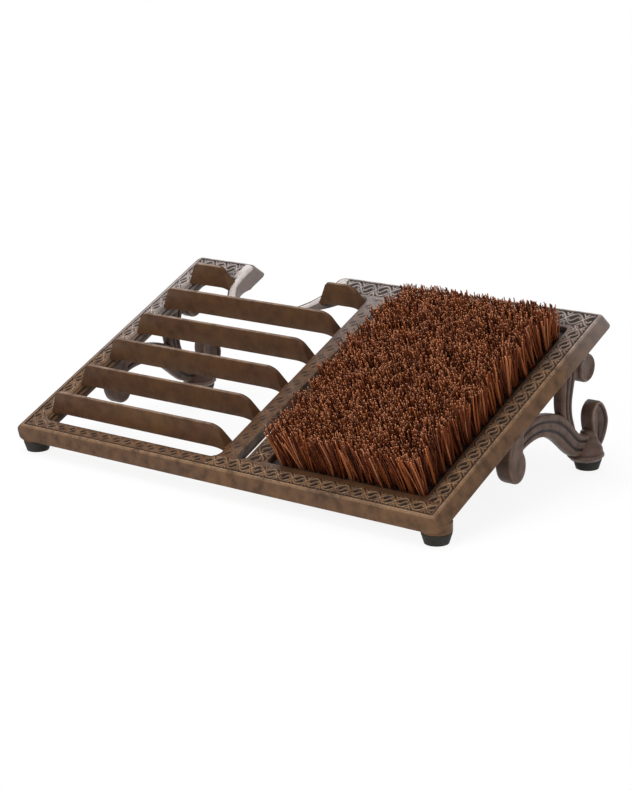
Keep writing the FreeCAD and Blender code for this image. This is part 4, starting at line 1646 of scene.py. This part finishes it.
@dataclass
class Studio:
    """A pale floor, soft lamps and the camera at the photograph's place."""

    azimuth_deg: float = 37.84
    elevation_deg: float = 15.68
    roll_deg: float = -1.15
    aside: float = 75.2
    above: float = 72.88
    distance: float = 1405.84
    focal_pixels: float = 1960.97
    picture_height: float = 790.0
    sensor: float = 36.0
    floor_colour: Colour = (0.82, 0.82, 0.82)
    fill_colour: Colour = (1.0, 0.99, 0.98)
    fill_strength: float = 0.55
    white: Colour = (1.0, 1.0, 1.0)
    lamps: tuple[AreaLamp, ...] = (
        AreaLamp("lamp_over", (-0.3, 0.0, 1.9), 1.3, 19.0),
        AreaLamp("lamp_sheen", (-1.45, 1.05, 1.20), 0.7, 8.0, (0.94, 0.97, 1.0)),
        AreaLamp("lamp_front", (-0.3, -1.9, 1.0), 1.4, 24.0),
        AreaLamp("lamp_right", (1.9, -0.5, 0.9), 1.2, 12.5),
    )

    def camera(self) -> None:
        """Adds the camera."""
        azimuth, elevation, roll = (math.radians(angle) for angle in
                                    (self.azimuth_deg, self.elevation_deg, self.roll_deg))
        back = Vector((math.sin(azimuth) * math.cos(elevation), -math.cos(azimuth) * math.cos(elevation),
                       math.sin(elevation)))
        level = Vector((0.0, 0.0, 1.0)).cross(back).normalized()
        upright = back.cross(level)
        right = level * math.cos(roll) + upright * math.sin(roll)
        up = upright * math.cos(roll) - level * math.sin(roll)
        place = right * self.aside + up * self.above + back * self.distance
        place.y += FRONT_EDGE_Y
        data = bpy.data.cameras.new("camera")
        data.lens = self.focal_pixels / self.picture_height * self.sensor
        data.sensor_width = self.sensor
        data.clip_start = 0.01
        camera = bpy.data.objects.new("camera", data)
        camera.matrix_world = Matrix.LocRotScale(
            place * METRES_PER_MM, Matrix((right, up, back)).transposed(), Vector((1.0, 1.0, 1.0)))
        bpy.context.scene.collection.objects.link(camera)
        bpy.context.scene.camera = camera

    def floor(self) -> None:
        """Adds the floor, which looks white and keeps the object's shadow faintly near it."""
        bm = bmesh.new()
        bmesh.ops.create_grid(bm, x_segments=1, y_segments=1, size=6.0)
        mesh = bpy.data.meshes.new("floor")
        bm.to_mesh(mesh)
        bm.free()
        made = bpy.data.objects.new("floor", mesh)
        bpy.context.scene.collection.objects.link(made)
        s = new_shader("pale_floor")
        away = s.node("VectorMath", operation="LENGTH", Vector=s.where()).outputs["Value"]
        veil = s.spread(away, 0.24, 0.50, 0.88, 1.0)
        paper = s.node("BsdfDiffuse", Color=self.floor_colour)
        glow = s.node("Emission", Color=self.white)
        mesh.materials.append(s.close(s.blend(s.times(s.seen(), veil), paper, glow)))

    def world(self) -> None:
        """Fills the scene with a plain light, white where the camera or a shiny surface sees it."""
        s = Shader(bpy.data.worlds.new("studio"), "OutputWorld")
        fill = s.node("Background", Color=self.fill_colour, Strength=self.fill_strength)
        white = s.node("Background", Color=self.white, Strength=1.0)
        bpy.context.scene.world = s.close(s.blend(s.seen(), fill, white))

    def build(self) -> None:
        """Adds everything round the object."""
        self.camera()
        self.floor()
        self.world()
        for lamp in self.lamps:
            lamp.build()
        bpy.context.scene.view_settings.view_transform = "Standard"


@dataclass
class BootScraper:
    """The whole object: its sub-assemblies and the finishes that they share."""

    deck: Deck = field(default_factory=Deck)
    deck_paint: CastIron = CastIron(
        "deck_paint", shade=(0.008, 0.005, 0.004), body=(0.088, 0.048, 0.029), warm=(0.140, 0.074, 0.034),
        worn=(0.255, 0.152, 0.082), grain=0.00026, shine=0.38, gloss=0.10, sheen_share=0.50, front_top_shade=0.56)
    blade_paint: CastIron = CastIron(
        "blade_paint", shade=(0.030, 0.014, 0.008), body=(0.076, 0.034, 0.017), warm=(0.100, 0.050, 0.018),
        worn=(0.30, 0.20, 0.135), grain=0.00008, shine=0.46, gloss=0.15)
    leg_paint: CastIron = CastIron(
        "leg_paint", shade=(0.013, 0.008, 0.007), body=(0.070, 0.040, 0.033), warm=(0.104, 0.058, 0.036),
        worn=(0.20, 0.135, 0.10), grain=0.00018, shine=0.38, gloss=0.17)
    rubber: MouldedBlack = MouldedBlack("foot_rubber", (0.012, 0.011, 0.009), rough=0.62, grain=0.00005)
    block: MouldedBlack = MouldedBlack("brush_block_plastic", (0.010, 0.009, 0.008), rough=0.55,
                                       grain=0.00006)

    def dress(self, nodes: Sequence[str], material: bpy.types.Material) -> None:
        """Gives CAD nodes whose shape is right their finish.

        Args:
            nodes: the nodes' names.
            material: the finish.
        """
        for name in nodes:
            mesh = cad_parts[name].data
            mesh.materials.clear()
            mesh.materials.append(material)
            LOG.info("%s: CAD shape with %s", name, material.name)

    def build(self) -> None:
        """Makes the sub-assemblies in order."""
        DeckCasting(self.deck, self.deck_paint.material()).build()
        ScraperBlades(self.deck, self.blade_paint.material()).build()
        leg_paint = self.leg_paint.material()
        for side in Side:
            ScrolledLeg(self.deck, leg_paint, side).build()
        RubberFeet(self.deck, self.rubber.material()).build()
        BristleBrush(self.deck, PlantFibre().material()).build()
        self.dress(("brush_block",), self.block.material())
        self.dress(("brush_screws", "foot_screws", "leg_dowels"), PlatedSteel().material())


def main() -> None:
    """Builds the scraper and its studio."""
    logging.basicConfig(level=logging.INFO, format="%(message)s")
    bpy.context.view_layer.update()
    Studio().build()
    BootScraper().build()


if __name__ == "__main__":
    main()
